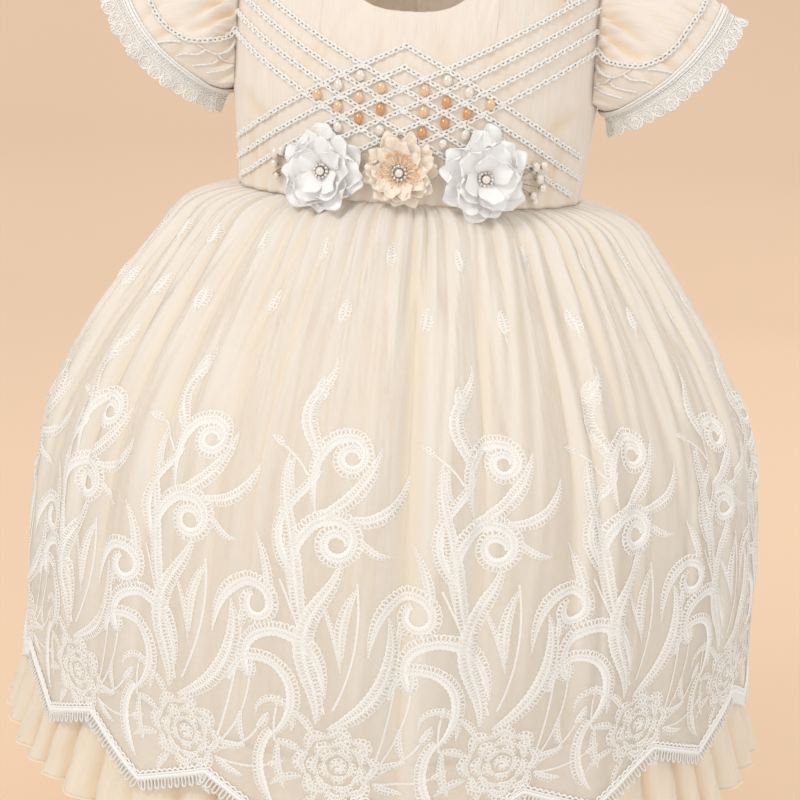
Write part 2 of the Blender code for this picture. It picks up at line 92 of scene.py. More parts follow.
camera_data = bpy.data.cameras.new("camera")
camera_data.sensor_width = SENSOR
camera_data.lens = FOCAL_PIXELS / IMAGE_SIDE * SENSOR
camera_data.shift_x = CAMERA_SHIFT
camera = linked("camera", camera_data)
stand = Vector((math.sin(CAMERA_TURN), -math.cos(CAMERA_TURN), 0)) * CAMERA_DISTANCE
stand += Vector((0, 0, CAMERA_HEIGHT))
aim = Matrix.Rotation(CAMERA_TURN, 4, "Z") @ Matrix.Rotation(math.pi / 2 - CAMERA_DIP, 4, "X")
camera.matrix_world = Matrix.Translation(stand) @ aim @ Matrix.Rotation(CAMERA_ROLL, 4, "Z")
scene.camera = camera
print("lens", round(camera_data.lens, 1), "mm")

# %% [markdown]
# ## A way to write node trees as sums
# Every finish below is a tree of nodes, and so is every trim that repeats. A small class wraps one socket
# and lets Python's own signs add the Math nodes, so a line of shader maths reads like a line of arithmetic.

# %% Node trees written in Python
class Signal:
    """One output in a node tree. Python's signs between signals and numbers add Math nodes."""

    def __init__(self, tree, socket):
        self.tree = tree
        self.socket = socket

    def of(self, name):
        """Another output of the same node."""
        return Signal(self.tree, pick(self.socket.node.outputs, name))

    def sum(self, operation, other=None, flip=False):
        made = self.tree.nodes.new("ShaderNodeMath")
        made.operation = operation
        terms = [self] if other is None else [self, other]
        for socket, term in zip(made.inputs, reversed(terms) if flip else terms):
            put(self.tree, socket, term)
        return Signal(self.tree, made.outputs[0])

    def __add__(self, other):
        return self.sum("ADD", other)

    def __sub__(self, other):
        return self.sum("SUBTRACT", other)

    def __rsub__(self, other):
        return self.sum("SUBTRACT", other, flip=True)

    def __mul__(self, other):
        return self.sum("MULTIPLY", other)

    def __truediv__(self, other):
        return self.sum("DIVIDE", other)

    def __pow__(self, other):
        return self.sum("POWER", other)

    __radd__ = __add__
    __rmul__ = __mul__


def pick(sockets, name):
    """A socket by number, or by name among those that are in use."""
    if isinstance(name, int):
        return sockets[name]
    return next(s for s in sockets if s.enabled and s.name == name)


def put(tree, socket, value):
    if isinstance(value, Signal):
        tree.links.new(value.socket, socket)
    else:
        socket.default_value = value


class Recipe:
    """A node tree that is filled by calls: a node's type, its settings, then its inputs."""

    def __init__(self, tree):
        self.tree = tree

    def add(self, kind, settings=None, inputs=None):
        made = self.tree.nodes.new(kind)
        for name, value in (settings or {}).items():
            setattr(made, name, value)
        for name, value in (inputs or {}).items():
            put(self.tree, pick(made.inputs, name), value)
        outputs = [s for s in made.outputs if s.enabled]
        return Signal(self.tree, outputs[0]) if outputs else made


print("node helpers ready")

# %% [markdown]
# ## Finishes
# A finish is one material. The colours are the cream and ivory of undyed satin under warm light, white
# cotton for the lace and the stitching, and small amounts of peach, pearl and old silver. Weave and
# stitches are far finer than a pixel, so they are a pattern in the colour and a bump, not shapes.

# %% A finish starts from its colour and gloss
class Finish(Recipe):
    """A material with one Principled shader, whose constants sit on the shader's own sockets."""

    def __init__(self, name, colour, roughness=0.8, **constants):
        self.material = bpy.data.materials.new(name)
        self.material.use_nodes = True
        super().__init__(self.material.node_tree)
        self.shader = self.tree.nodes["Principled BSDF"]
        self.set("Base Color", (*colour, 1.0))
        self.set("Roughness", roughness)
        for key, value in constants.items():
            self.set(key.replace("_", " ").title().replace("Ior", "IOR"), value)
        self.colour = colour

    def set(self, name, value):
        put(self.tree, self.shader.inputs[name], value)

    def uv(self):
        return self.add("ShaderNodeUVMap", {"uv_map": "UVMap"})

    def place(self):
        return self.add("ShaderNodeTexCoord").of("Object")

    def stretched(self, vector, scale):
        return self.add("ShaderNodeMapping", None, {"Vector": vector, "Scale": scale})

    def noise(self, vector, scale, detail=2.0, roughness=0.5):
        inputs = {"Vector": vector, "Scale": scale, "Detail": detail, "Roughness": roughness}
        return self.add("ShaderNodeTexNoise", None, inputs)

    def attribute(self, name):
        return self.add("ShaderNodeAttribute", {"attribute_name": name}).of("Fac")

    def blend(self, share, first, second):
        """Colour from first to second as share goes from 0 to 1."""
        made = self.tree.nodes.new("ShaderNodeMix")
        made.data_type = "RGBA"
        put(self.tree, made.inputs[0], share)
        for socket, colour in ((made.inputs[6], first), (made.inputs[7], second)):
            put(self.tree, socket, colour if isinstance(colour, Signal) else (*colour, 1.0))
        return Signal(self.tree, made.outputs[2])

    def ramp(self, share, stops):
        """Colour along stops of (place, colour)."""
        made = self.tree.nodes.new("ShaderNodeValToRGB")
        put(self.tree, made.inputs[0], share)
        elements = made.color_ramp.elements
        while len(elements) < len(stops):
            elements.new(0.5)
        for element, (place, colour) in zip(elements, stops):
            element.position = place
            element.color = (*colour, 1.0)
        return Signal(self.tree, made.outputs[0])

    def bump(self, height, distance, strength=1.0):
        inputs = {"Height": height, "Distance": distance, "Strength": strength}
        self.set("Normal", self.add("ShaderNodeBump", None, inputs))


def shade(colour, factor):
    return tuple(min(1.0, c * factor) for c in colour)


CREAM = (0.868, 0.768, 0.672)
IVORY = (0.850, 0.730, 0.580)
THREAD_WHITE = (0.955, 0.930, 0.895)
NET_CREAM = (0.885, 0.825, 0.750)
LACE_WHITE = (0.925, 0.895, 0.855)
PETAL_WHITE = (0.965, 0.955, 0.940)
PEACH = (0.970, 0.860, 0.735)
PAPER = (0.845, 0.615, 0.435)


def fold_shade_colour(colour):
    """Painted shade: the colour deep in a fold, darker and warmer, as where light has crossed the cloth."""
    return colour[0] * 0.95, colour[1] * 0.85, colour[2] * 0.68


# %% Woven cloth: warp and weft as two fine waves, with slubs along the warp
THREAD_PITCH = 0.00045

def woven(name, colour, roughness, slub, crinkle, **constants):
    finish = Finish(name, colour, roughness, **constants)
    uv = finish.uv()
    slubs = finish.noise(finish.stretched(uv, (900.0, 45.0, 1.0)), 1.0, 3.0)
    creases = finish.noise(finish.stretched(uv, (160.0, 38.0, 1.0)), 1.0, 3.0)
    cloud = finish.noise(uv, 22.0, 2.0)
    # The tone is partly yarn, from the slubs and clouds, and partly painted shade: it is darker where the
    # crease noise is low, in the same valleys that the bump makes.
    tone = slubs * 0.45 + creases * 0.35 + cloud * 0.20
    flat = finish.ramp(tone, ((0.36, shade(colour, 0.95)), (0.62, shade(colour, 1.03))))
    # Painted shade: the colour turns to the fold shade colour where the hollow attribute marks a fold.
    finish.set("Base Color", finish.blend(finish.attribute("hollow") * 0.85, flat, fold_shade_colour(colour)))
    split = finish.add("ShaderNodeSeparateXYZ", None, {"Vector": uv})
    across = (split.of("X") * (math.tau / THREAD_PITCH)).sum("SINE")
    along = (split.of("Y") * (math.tau / THREAD_PITCH)).sum("SINE")
    finish.bump(across * along * 0.06 + slubs * slub + creases * crinkle, 0.0005, 0.6)
    return finish.material

bodice_cloth = woven("bodice_cloth", CREAM, 0.72, 0.9, 3.0, sheen_weight=0.25)
sleeve_cloth = woven("sleeve_cloth", CREAM, 0.55, 0.45, 1.2, sheen_weight=0.3)
lining_satin = woven("lining_satin", IVORY, 0.50, 0.25, 0.9, sheen_weight=0.3)
ruffle_satin = woven("ruffle_satin", shade(IVORY, 1.02), 0.52, 0.4, 1.8, sheen_weight=0.3)
print("woven finishes ready")

# %% Net: threads with gaps between them, so part of the cloth beneath shows through
NET_MESH = 0.0011
NET_OPACITY = 0.36

def net_finish():
    finish = Finish("embroidered_net", NET_CREAM, 0.75, sheen_weight=0.2)
    uv = finish.uv()
    split = finish.add("ShaderNodeSeparateXYZ", None, {"Vector": uv})
    slope = split.of("Y") * 0.577
    first = ((split.of("X") + slope) * (math.tau / NET_MESH)).sum("SINE")
    second = ((split.of("X") - slope) * (math.tau / NET_MESH)).sum("SINE")
    threads = (first * first).sum("MAXIMUM", second * second)
    streaks = finish.noise(finish.stretched(uv, (70.0, 5.0, 1.0)), 1.0, 3.0)
    cloud = finish.noise(uv, 16.0, 2.0)
    gathered = ((split.of("Y") - 0.310) * 14.0).sum("MAXIMUM", 0.0)
    hollow = finish.attribute("hollow")
    thick = 1.0 + finish.attribute("steep") * 1.2 + gathered * 0.7 + hollow * 0.8
    veil = NET_OPACITY * (0.62 + threads * 0.5) * (0.68 + streaks * 0.30 + cloud * 0.35) * thick
    crepe = finish.noise(finish.stretched(uv, (650.0, 90.0, 1.0)), 1.0, 2.0)
    finish.bump(crepe, 0.0006, 0.28)
    # Painted shade: the net's colour turns darker and warmer where the hollow attribute marks a fold.
    finish.set("Base Color", finish.blend(hollow * 0.45, NET_CREAM, fold_shade_colour(NET_CREAM)))
    finish.set("Alpha", veil.sum("MINIMUM", 0.92))
    return finish.material

net_material = net_finish()
print("net ready, mesh", NET_MESH * 1000, "mm")

# %% Thread, lace, petals, pearls and metal
def thread_finish(name, colour, gap_shade):
    """Two rows of looped thread: open inside each loop and between the loops' outer ends.

    tone tells how dense the satin is: towards one edge for 1 or -1, all over for 3.
    """
    finish = Finish(name, colour, 0.6, sheen_weight=0.35)
    across = finish.attribute("across")
    tone = finish.attribute("tone")
    aside = across.sum("ABSOLUTE")
    wander = finish.noise(finish.place(), 300.0, 1.0) - 0.5
    offset = across.sum("GREATER_THAN", 0.0) * 0.5
    turn = (finish.attribute("along") + offset + wander * 1.1).sum("FRACT") - 0.5
    reach = aside - 0.54 + wander * 0.25
    ring = (turn * turn * 5.6 + reach * reach * 4.8).sum("SQRT")
    thread = 1.0 - (ring - 1.0).sum("ABSOLUTE") * 2.3
    core = 1.0 - aside * 6.0
    ridges = 0.86 + (finish.attribute("along") * (math.tau * 2.0)).sum("SINE") * 0.14
    satin = ((tone * across) * 1.5).sum("MAXIMUM", tone - 2.0) * ridges
    cover = thread.sum("MAXIMUM", core).sum("MAXIMUM", satin).sum("MAXIMUM", 0.0).sum("MINIMUM", 1.0)
    finish.set("Alpha", (0.24 + cover * 1.1).sum("MINIMUM", 1.0))
    # Painted shade: the colour turns to the gap shade colour where the thread covers little, between and
    # inside the loops, and where a stitch is marked as sunk in a dip.
    depth = (1.0 - cover) * 0.6 + finish.attribute("dip_shade") * 0.3
    finish.set("Base Color", finish.blend(depth.sum("MINIMUM", 1.0), colour, gap_shade))
    grain = finish.noise(finish.place(), 900.0, 2.0)
    finish.bump(cover + grain * 0.3, 0.0004, 0.35)
    return finish.material


def cotton_finish(name, colour):
    finish = Finish(name, colour, 0.8, sheen_weight=0.3)
    strands = finish.noise(finish.place(), 1300.0, 3.0)
    finish.set("Base Color", finish.ramp(strands, ((0.3, shade(colour, 0.93)), (0.7, shade(colour, 1.02)))))
    finish.bump(strands, 0.0002, 0.7)
    return finish.material


def petal_finish(name, colour, heart):
    """Thin petal cloth with a fine grain, whose colour turns to heart towards the middle: a painted shade for
    the white petals, a deeper dye for the peach petals and the stamens.
    """
    finish = Finish(name, colour, 0.7, sheen_weight=0.4)
    reach = finish.attribute("reach")
    grain = finish.noise(finish.place(), 700.0, 2.0)
    finish.set("Base Color", finish.ramp(reach + grain * 0.1, ((0.08, heart), (0.60, colour))))
    finish.bump(grain, 0.0002, 0.4)
    return finish.material


def pearl_finish():
    finish = Finish("pearl", (0.93, 0.90, 0.86), 0.22, coat_weight=1.0, coat_roughness=0.05, metallic=0.35)
    stops = ((0.0, (0.90, 0.865, 0.82)), (0.5, (0.88, 0.62, 0.41)), (1.0, (0.74, 0.38, 0.17)))
    finish.set("Base Color", finish.ramp(finish.attribute("tone"), stops))
    return finish.material


def metal_finish():
    finish = Finish("antique_silver", (0.55, 0.52, 0.48), 0.28, metallic=1.0)
    tarnish = finish.noise(finish.place(), 900.0, 3.0)
    finish.set("Base Color", finish.ramp(tarnish, ((0.4, (0.30, 0.28, 0.25)), (0.62, (0.70, 0.68, 0.65)))))
    finish.set("Roughness", 0.2 + tarnish * 0.3)
    return finish.material


def stone_finish():
    gloss = {"coat_weight": 1.0, "specular_ior_level": 0.9, "metallic": 0.35}
    finish = Finish("cut_stone", (0.93, 0.93, 0.94), 0.06, **gloss)
    # Painted reflection: the stones' mottled grey and white colour stands in for the glints of their cut
    # facets.
    cloud = finish.noise(finish.place(), 1100.0, 1.0)
    finish.set("Base Color", finish.ramp(cloud, ((0.35, (0.55, 0.54, 0.54)), (0.6, (0.97, 0.97, 0.97)))))
    return finish.material


stitch_white = thread_finish("stitch_white", THREAD_WHITE, (0.90, 0.83, 0.73))
stitch_sheer = thread_finish("stitch_sheer", THREAD_WHITE, (0.92, 0.86, 0.78))
braid_cotton = cotton_finish("braid_cotton", (0.935, 0.905, 0.860))
lace_cotton = cotton_finish("lace_cotton", LACE_WHITE)
# Painted shade: the white petals turn greyer at the heart, where they crowd together.
white_petal = petal_finish("white_petal", PETAL_WHITE, (0.90, 0.885, 0.86))
peach_petal = petal_finish("peach_petal", PEACH, (0.90, 0.66, 0.43))
stamen_thread = petal_finish("stamen_thread", (0.93, 0.74, 0.54), (0.80, 0.43, 0.17))
pearl_material = pearl_finish()
silver_material = metal_finish()
stone_material = stone_finish()
print("finishes:", len(bpy.data.materials))

# %% Floor and light
FLOOR_Z = -0.62
BOWL_PROFILE = ((0.0, 0.0), (1.6, 0.0), (2.3, 0.03), (2.8, 0.25), (3.1, 0.8), (3.2, 1.6), (3.2, 3.4))
BOWL_SIDES = 96

def make_bowl():
    """The studio paper: a profile turned round the upright axis."""
    points = [
        (r * math.cos(math.tau * i / BOWL_SIDES), r * math.sin(math.tau * i / BOWL_SIDES), FLOOR_Z + up)
        for r, up in BOWL_PROFILE[1:]
        for i in range(BOWL_SIDES)
    ]
    centre = len(points)
    points.append((0.0, 0.0, FLOOR_Z))
    faces = [(centre, i, (i + 1) % BOWL_SIDES) for i in range(BOWL_SIDES)]
    for row in range(len(BOWL_PROFILE) - 2):
        for i in range(BOWL_SIDES):
            j = (i + 1) % BOWL_SIDES
            low = row * BOWL_SIDES
            faces.append((low + i, low + BOWL_SIDES + i, low + BOWL_SIDES + j, low + j))
    mesh = bpy.data.meshes.new("studio_paper")
    mesh.from_pydata(points, [], faces)
    mesh.shade_smooth()
    paper = Finish("studio_paper", PAPER, 0.95)
    cloud = paper.noise(paper.place(), 1.1, 2.0)
    paper.set("Base Color", paper.ramp(cloud, ((0.3, shade(PAPER, 0.985)), (0.7, shade(PAPER, 1.015)))))
    mesh.materials.append(paper.material)
    bowl = linked("studio_paper", mesh)
    bowl.visible_diffuse = False


def add_softbox(name, place, target, size, power, colour):
    light = bpy.data.lights.new(name, "AREA")
    light.shape = "DISK"
    light.size = size
    light.energy = power
    light.color = colour
    lamp = linked(name, light)
    lamp.location = place
    lamp.rotation_mode = "QUATERNION"
    lamp.rotation_quaternion = (Vector(target) - Vector(place)).to_track_quat("-Z", "Y")
    lamp.visible_camera = False


make_bowl()
add_softbox("key_light", (-1.1, -1.5, 1.3), (0, 0, -0.25), 0.8, 15.0, (1.0, 0.975, 0.94))
add_softbox("fill_light", (1.6, -1.6, 0.6), (0, 0, -0.25), 1.6, 5.0, (1.0, 0.98, 0.95))
add_softbox("back_light", (0.6, 1.8, 1.4), (0, 0, -0.2), 1.2, 12.0, (1.0, 0.97, 0.93))
world = bpy.data.worlds.new("studio")
world.use_nodes = True
world.node_tree.nodes["Background"].inputs["Color"].default_value = (1.0, 0.985, 0.96, 1.0)
world.node_tree.nodes["Background"].inputs["Strength"].default_value = 0.82
scene.world = world
scene.view_settings.view_transform = "Standard"

# %% [markdown]
# ## Cloth as a sheet with its own pattern
# A dressmaker thinks of cloth flat. Each sheet below is a grid of points that knows its place in the gown
# and, as its UV map, its place on the flat pattern in metres. Trims are drawn flat too, and a geometry
# node tree carries them onto the sheet by looking up their flat place in its UV map. The same few nodes
# then serve the stitching on the net, the braid on the bodice and the lace on the sleeves.

# %% Sheets from grids of points
def grid_faces(rows, columns, flip=False):
    index = np.arange(rows * columns).reshape(rows, columns)
    corners = [index[:-1, :-1], index[1:, :-1], index[1:, 1:], index[:-1, 1:]]
    return np.stack(corners[::-1] if flip else corners, axis=-1).reshape(-1, 4)


def sheet_mesh(name, points, uvs, material, flip=False):
    """A sheet from a grid of points (rows, columns, 3) and its flat pattern (rows, columns, 2).

    Rows run down the cloth or up it. flip turns its face the other way.
    """
    faces = grid_faces(*points.shape[:2], flip)
    return mesh_object(name, points.reshape(-1, 3), faces, uvs.reshape(-1, 2), material)


def mesh_object(name, points, faces, uvs, material):
    mesh = bpy.data.meshes.new(name)
    mesh.from_pydata(points.tolist(), [], faces.tolist())
    if uvs is not None:
        layer = mesh.uv_layers.new(name="UVMap")
        loops = np.empty(len(mesh.loops), dtype=np.int32)
        mesh.loops.foreach_get("vertex_index", loops)
        layer.data.foreach_set("uv", uvs[loops].astype(np.float32).ravel())
    mesh.materials.append(material)
    mesh.shade_smooth()
    return linked(name, mesh)


def note(thing, label, values):
    """Keeps one number for each point of a mesh, for its finish to read."""
    thing.data.attributes.new(label, "FLOAT", "POINT").data.foreach_set("value", np.asarray(values).ravel())


def hollowness(points, outward, span, deep):
    """How far each point of a closed grid lies below its neighbours' mean along a row: 1 at deep."""
    ring = points[:, :-1]
    mean = sum(np.roll(ring, k, axis=1) for k in range(-span, span + 1)) / (2 * span + 1)
    mean = np.concatenate([mean, mean[:, :1]], axis=1)
    return np.clip(np.sum((mean - points) * outward, axis=-1) / deep, 0, 1)


def from_axis(points):
    """Level directions from the upright axis to each point."""
    level = points * (1, 1, 0)
    return level / np.linalg.norm(level, axis=-1, keepdims=True)


def weld(thing, distance=0.00002):
    """Closes the seam where a tube's last column meets its first."""
    work = bmesh.new()
    work.from_mesh(thing.data)
    bmesh.ops.remove_doubles(work, verts=work.verts, dist=distance)
    work.to_mesh(thing.data)
    work.free()
    return thing


def thicken(thing, thickness, offset=-1.0):
    solidify = thing.modifiers.new("cloth", "SOLIDIFY")
    solidify.thickness = thickness
    solidify.offset = offset
    return thing


def dress(thing, slot, *nodes):
    """A finished piece rides on the gown and stands for its solids. The slot is not used."""
    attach(thing, "root")
    if nodes:
        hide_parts(*nodes)
    return thing


def triangles(thing):
    depsgraph = bpy.context.evaluated_depsgraph_get()
    mesh = thing.evaluated_get(depsgraph).to_mesh()
    count = sum(len(p.vertices) - 2 for p in mesh.polygons)
    thing.evaluated_get(depsgraph).to_mesh_clear()
    return count


def area_of(thing):
    """The sheet's area in square metres, one layer."""
    return sum(p.area for p in thing.data.polygons)


print("sheet helpers ready")

# %% Lines drawn flat, and the tree that carries them onto a sheet
def between(a, b, c, d, t):
    """The smooth curve from b to c, as t goes from 0 to 1, that a and d lead into."""
    bent = (2 * a - 5 * b + 4 * c - d) * t**2 + (3 * b - a - 3 * c + d) * t**3
    return 0.5 * (2 * b + (c - a) * t + bent)


def curved(points, step):
    """A smooth path through the points, as evenly spaced points."""
    points = np.array(points, dtype=float)
    padded = np.concatenate([[2 * points[0] - points[1]], points, [2 * points[-1] - points[-2]]])
    pieces = []
    for a, b, c, d in zip(padded, padded[1:], padded[2:], padded[3:]):
        t = np.linspace(0, 1, 24, endpoint=False)[:, None]
        pieces.append(between(a, b, c, d, t))
    dense = np.concatenate(pieces + [points[-1:]])
    along = np.concatenate([[0], np.cumsum(np.linalg.norm(np.diff(dense, axis=0), axis=1))])
    count = max(3, int(round(along[-1] / step)) + 1)
    even = np.linspace(0, along[-1], count)
    return np.stack([np.interp(even, along, dense[:, k]) for k in range(dense.shape[1])], axis=-1)


def line_object(name, lines):
    """Drawn lines as one object: each is (points, half width along it, tone)."""
    points, edges, widths, tones = [], [], [], []
    for path, width, tone in lines:
        path = np.asarray(path, dtype=float)
        if path.shape[1] == 2:
            path = np.column_stack([path, np.zeros(len(path))])
        start = len(points)
        points.extend(path.tolist())
        edges.extend((start + i, start + i + 1) for i in range(len(path) - 1))
        widths.extend(np.broadcast_to(width, len(path)).tolist())
        tones.extend([tone] * len(path))
    mesh = bpy.data.meshes.new(name)
    mesh.from_pydata(points, edges, [])
    made = linked(name, mesh)
    note(made, "half_width", widths)
    note(made, "tone", tones)
    return made


class Trim(Recipe):
    """A geometry node tree whose sizes are named inputs."""

    def __init__(self, name):
        tree = bpy.data.node_groups.new(name, "GeometryNodeTree")
        super().__init__(tree)
        tree.interface.new_socket("Geometry", in_out="INPUT", socket_type="NodeSocketGeometry")
        tree.interface.new_socket("Geometry", in_out="OUTPUT", socket_type="NodeSocketGeometry")
        self.start = tree.nodes.new("NodeGroupInput")
        self.end = tree.nodes.new("NodeGroupOutput")

    def ask(self, name, kind="Float", default=None):
        """A named input of the tree."""
        socket = self.tree.interface.new_socket(name, in_out="INPUT", socket_type="NodeSocket" + kind)
        if default is not None:
            socket.default_value = default
        return Signal(self.tree, self.start.outputs[name])

    def given(self):
        return Signal(self.tree, self.start.outputs["Geometry"])

    def named(self, name, kind="FLOAT"):
        return self.add("GeometryNodeInputNamedAttribute", {"data_type": kind}, {"Name": name})

    def store(self, geometry, name, value, kind="FLOAT"):
        inputs = {"Geometry": geometry, "Name": name, "Value": value}
        return self.add("GeometryNodeStoreNamedAttribute", {"data_type": kind, "domain": "POINT"}, inputs)

    def vector(self, x, y, z):
        return self.add("ShaderNodeCombineXYZ", None, {"X": x, "Y": y, "Z": z})

    def split(self, vector):
        return self.add("ShaderNodeSeparateXYZ", None, {"Vector": vector})

    def sample(self, sheet, value, place):
        """Looks up a value of the sheet at a place on its flat pattern."""
        uv = self.named("UVMap", "FLOAT_VECTOR")
        inputs = {"Mesh": sheet, "Value": value, "UV Map": uv, "Sample UV": place}
        return self.add("GeometryNodeSampleUVSurface", {"data_type": "FLOAT_VECTOR"}, inputs)

    def lay(self, geometry, cloth, girth):
        """Carries flat geometry onto the cloth: X and Y are its place on the pattern, Z its lift."""
        sheet = self.add("GeometryNodeObjectInfo", None, {"Object": cloth}).of("Geometry")
        flat = self.split(self.add("GeometryNodeInputPosition"))
        place = self.vector(flat.of("X").sum("FLOORED_MODULO", girth), flat.of("Y"), 0.0)
        outward = self.sample(sheet, self.add("GeometryNodeInputNormal"), place)
        beside = 1.0 - outward.of("Is Valid")
        inputs = {"Geometry": geometry, "Selection": beside}
        geometry = self.add("GeometryNodeDeleteGeometry", {"domain": "POINT"}, inputs)
        geometry = self.store(geometry, "outward", outward, "FLOAT_VECTOR")
        surface = self.sample(sheet, self.add("GeometryNodeInputPosition"), place)
        inputs = {"Vector": self.named("outward", "FLOAT_VECTOR"), "Scale": flat.of("Z")}
        lift = self.add("ShaderNodeVectorMath", {"operation": "SCALE"}, inputs)
        point = self.add("ShaderNodeVectorMath", {"operation": "ADD"}, {0: surface, 1: lift})
        return self.add("GeometryNodeSetPosition", None, {"Geometry": geometry, "Position": point})

    def close(self, geometry, material):
        """Ends the tree in plain geometry with its finish."""
        real = self.add("GeometryNodeRealizeInstances", None, {"Geometry": geometry})
        smooth = self.add("GeometryNodeSetShadeSmooth", None, {"Geometry": real})
        done = self.add("GeometryNodeSetMaterial", None, {"Geometry": smooth, "Material": material})
        self.tree.links.new(done.socket, self.end.inputs["Geometry"])
        return self.tree


def make_from(thing, tree, name, values):
    """Runs a tree on an object with these inputs, and keeps the result as a plain mesh."""
    modifier = thing.modifiers.new("trim", "NODES")
    modifier.node_group = tree
    for item in tree.interface.items_tree:
        if item.in_out == "INPUT" and item.name in values:
            modifier[item.identifier] = values[item.name]
    depsgraph = bpy.context.evaluated_depsgraph_get()
    depsgraph.update()
    mesh = bpy.data.meshes.new_from_object(thing.evaluated_get(depsgraph))
    mesh.name = name
    bpy.data.objects.remove(thing)
    print(name, "faces", len(mesh.polygons))
    return linked(name, mesh)


# %% Tree: stitching, a raised ribbed band along each drawn line
def stitch_tree(name, two_rows):
    """A ribbed band along each line: two rows of loops with a groove between them, or one round cord."""
    trim = Trim(name)
    pitch = trim.ask("Stitch Pitch", default=0.0012)
    loop_length = trim.ask("Loop Length", default=0.0019)
    swell = trim.ask("Stitch Swell", default=0.06)
    height = trim.ask("Height Share", default=0.24)
    repeats = trim.ask("Repeats", "Int", 1)
    step = trim.ask("Repeat Step", default=0.081)
    cloth = trim.ask("Cloth", "Object")
    girth = trim.ask("Girth", default=10.0)
    material = trim.ask("Material", "Material")
    sides = trim.ask("Sides", "Int", 5)
    line = trim.add("GeometryNodeMeshToCurve", None, {"Mesh": trim.given()})
    line = trim.add("GeometryNodeResampleCurve", {"mode": "LENGTH"}, {"Curve": line, "Length": pitch})
    line = trim.add("GeometryNodeSetCurveNormal", {"mode": "Z_UP"}, {"Curve": line})
    loops = trim.add("GeometryNodeSplineParameter").of("Length") / loop_length
    line = trim.store(line, "along", loops)
    odd = trim.add("GeometryNodeInputIndex").sum("FLOORED_MODULO", 2.0)
    width = trim.named("half_width") * (1.0 + swell - odd * swell * 2.0)
    if two_rows:
        inputs = {"Start": (-1.0, 0.0, 0.0), "End": (1.0, 0.0, 0.0)}
        flat = trim.add("GeometryNodeCurvePrimitiveLine", {"mode": "POINTS"}, inputs)
        flat = trim.add("GeometryNodeResampleCurve", {"mode": "COUNT"}, {"Curve": flat, "Count": 5})
        across = trim.split(trim.add("GeometryNodeInputPosition")).of("X")
        square = across * across
        rise = (1.0 - square) * (0.40 + square * 3.6) * height
        flat = trim.store(flat, "across", across)
        place = trim.vector(across, 0.0 - rise, 0.0)
        profile = trim.add("GeometryNodeSetPosition", None, {"Geometry": flat, "Position": place})
    else:
        inputs = {"Resolution": sides, "Radius": 1.0}
        circle = trim.add("GeometryNodeCurvePrimitiveCircle", {"mode": "RADIUS"}, inputs)
        inputs = {"Geometry": circle, "Scale": trim.vector(1.0, height, 1.0)}
        profile = trim.add("GeometryNodeTransform", None, inputs)
    inputs = {"Curve": line, "Profile Curve": profile, "Scale": width, "Fill Caps": not two_rows}
    band = trim.add("GeometryNodeCurveToMesh", None, inputs)
    inputs = {"Count": repeats, "Offset": trim.vector(step, 0.0, 0.0)}
    copies = trim.add("GeometryNodeMeshLine", None, inputs)
    bands = trim.add("GeometryNodeInstanceOnPoints", None, {"Points": copies, "Instance": band})
    real = trim.add("GeometryNodeRealizeInstances", None, {"Geometry": bands})
    return trim.close(trim.lay(real, cloth, girth), material)


loop_stitch = stitch_tree("loop_stitch", True)
cord_stitch = stitch_tree("cord_stitch", False)

# %% Tree: small parts set one after another along lines on a cloth
def chain_tree():
    """Copies of a part along each line, facing out of the cloth; every second one tips the other way."""
    trim = Trim("parts_along_line")
    pitch = trim.ask("Pitch", default=0.0034)
    lift = trim.ask("Lift", default=0.0006)
    tip = trim.ask("Tip", default=0.25)
    cloth = trim.ask("Cloth", "Object")
    part = trim.ask("Part", "Object")
    girth = trim.ask("Girth", default=10.0)
    material = trim.ask("Material", "Material")
    line = trim.add("GeometryNodeMeshToCurve", None, {"Mesh": trim.given()})
    laid = trim.lay(line, cloth, girth)
    spots = trim.add("GeometryNodeCurveToPoints", {"mode": "LENGTH"}, {"Curve": laid, "Length": pitch})
    tangent = spots.of("Tangent")
    outward = trim.named("outward", "FLOAT_VECTOR")
    facing = trim.add("FunctionNodeAlignRotationToVector", {"axis": "Z"}, {"Vector": outward})
    settings = {"axis": "X", "pivot_axis": "Z"}
    along = trim.add("FunctionNodeAlignRotationToVector", settings, {"Rotation": facing, "Vector": tangent})
    odd = trim.add("GeometryNodeInputIndex").sum("FLOORED_MODULO", 2.0)
    swing = trim.vector((odd - 0.5) * tip * 2.0, 0.0, 0.0)
    swing = trim.add("FunctionNodeEulerToRotation", None, {"Euler": swing})
    inputs = {"Rotation": along, "Rotate By": swing}
    turn = trim.add("FunctionNodeRotateRotation", {"rotation_space": "LOCAL"}, inputs)
    lifted = trim.add("ShaderNodeVectorMath", {"operation": "SCALE"}, {"Vector": outward, "Scale": lift})
    spots = trim.add("GeometryNodeSetPosition", None, {"Geometry": spots, "Offset": lifted})
    shape = trim.add("GeometryNodeObjectInfo", None, {"Object": part}).of("Geometry")
    inputs = {"Points": spots, "Instance": shape, "Rotation": turn}
    parts = trim.add("GeometryNodeInstanceOnPoints", None, inputs)
    return trim.close(parts, material)


parts_along_line = chain_tree()
print("trees:", [t.name for t in bpy.data.node_groups])

# %% [markdown]
# ## The skirt's form
# The skirt is a wide bell: cloth gathered into the waist seam that falls over a full petticoat. Its form is a
# short table of rows from waist to hem, each with its height, how much higher the sides hang than the
# front, its half width and depth, and how strong its gathers and folds are. A smooth curve through the rows
# gives every height between them, and a place on the skirt is a turn round it and a length down the cloth.

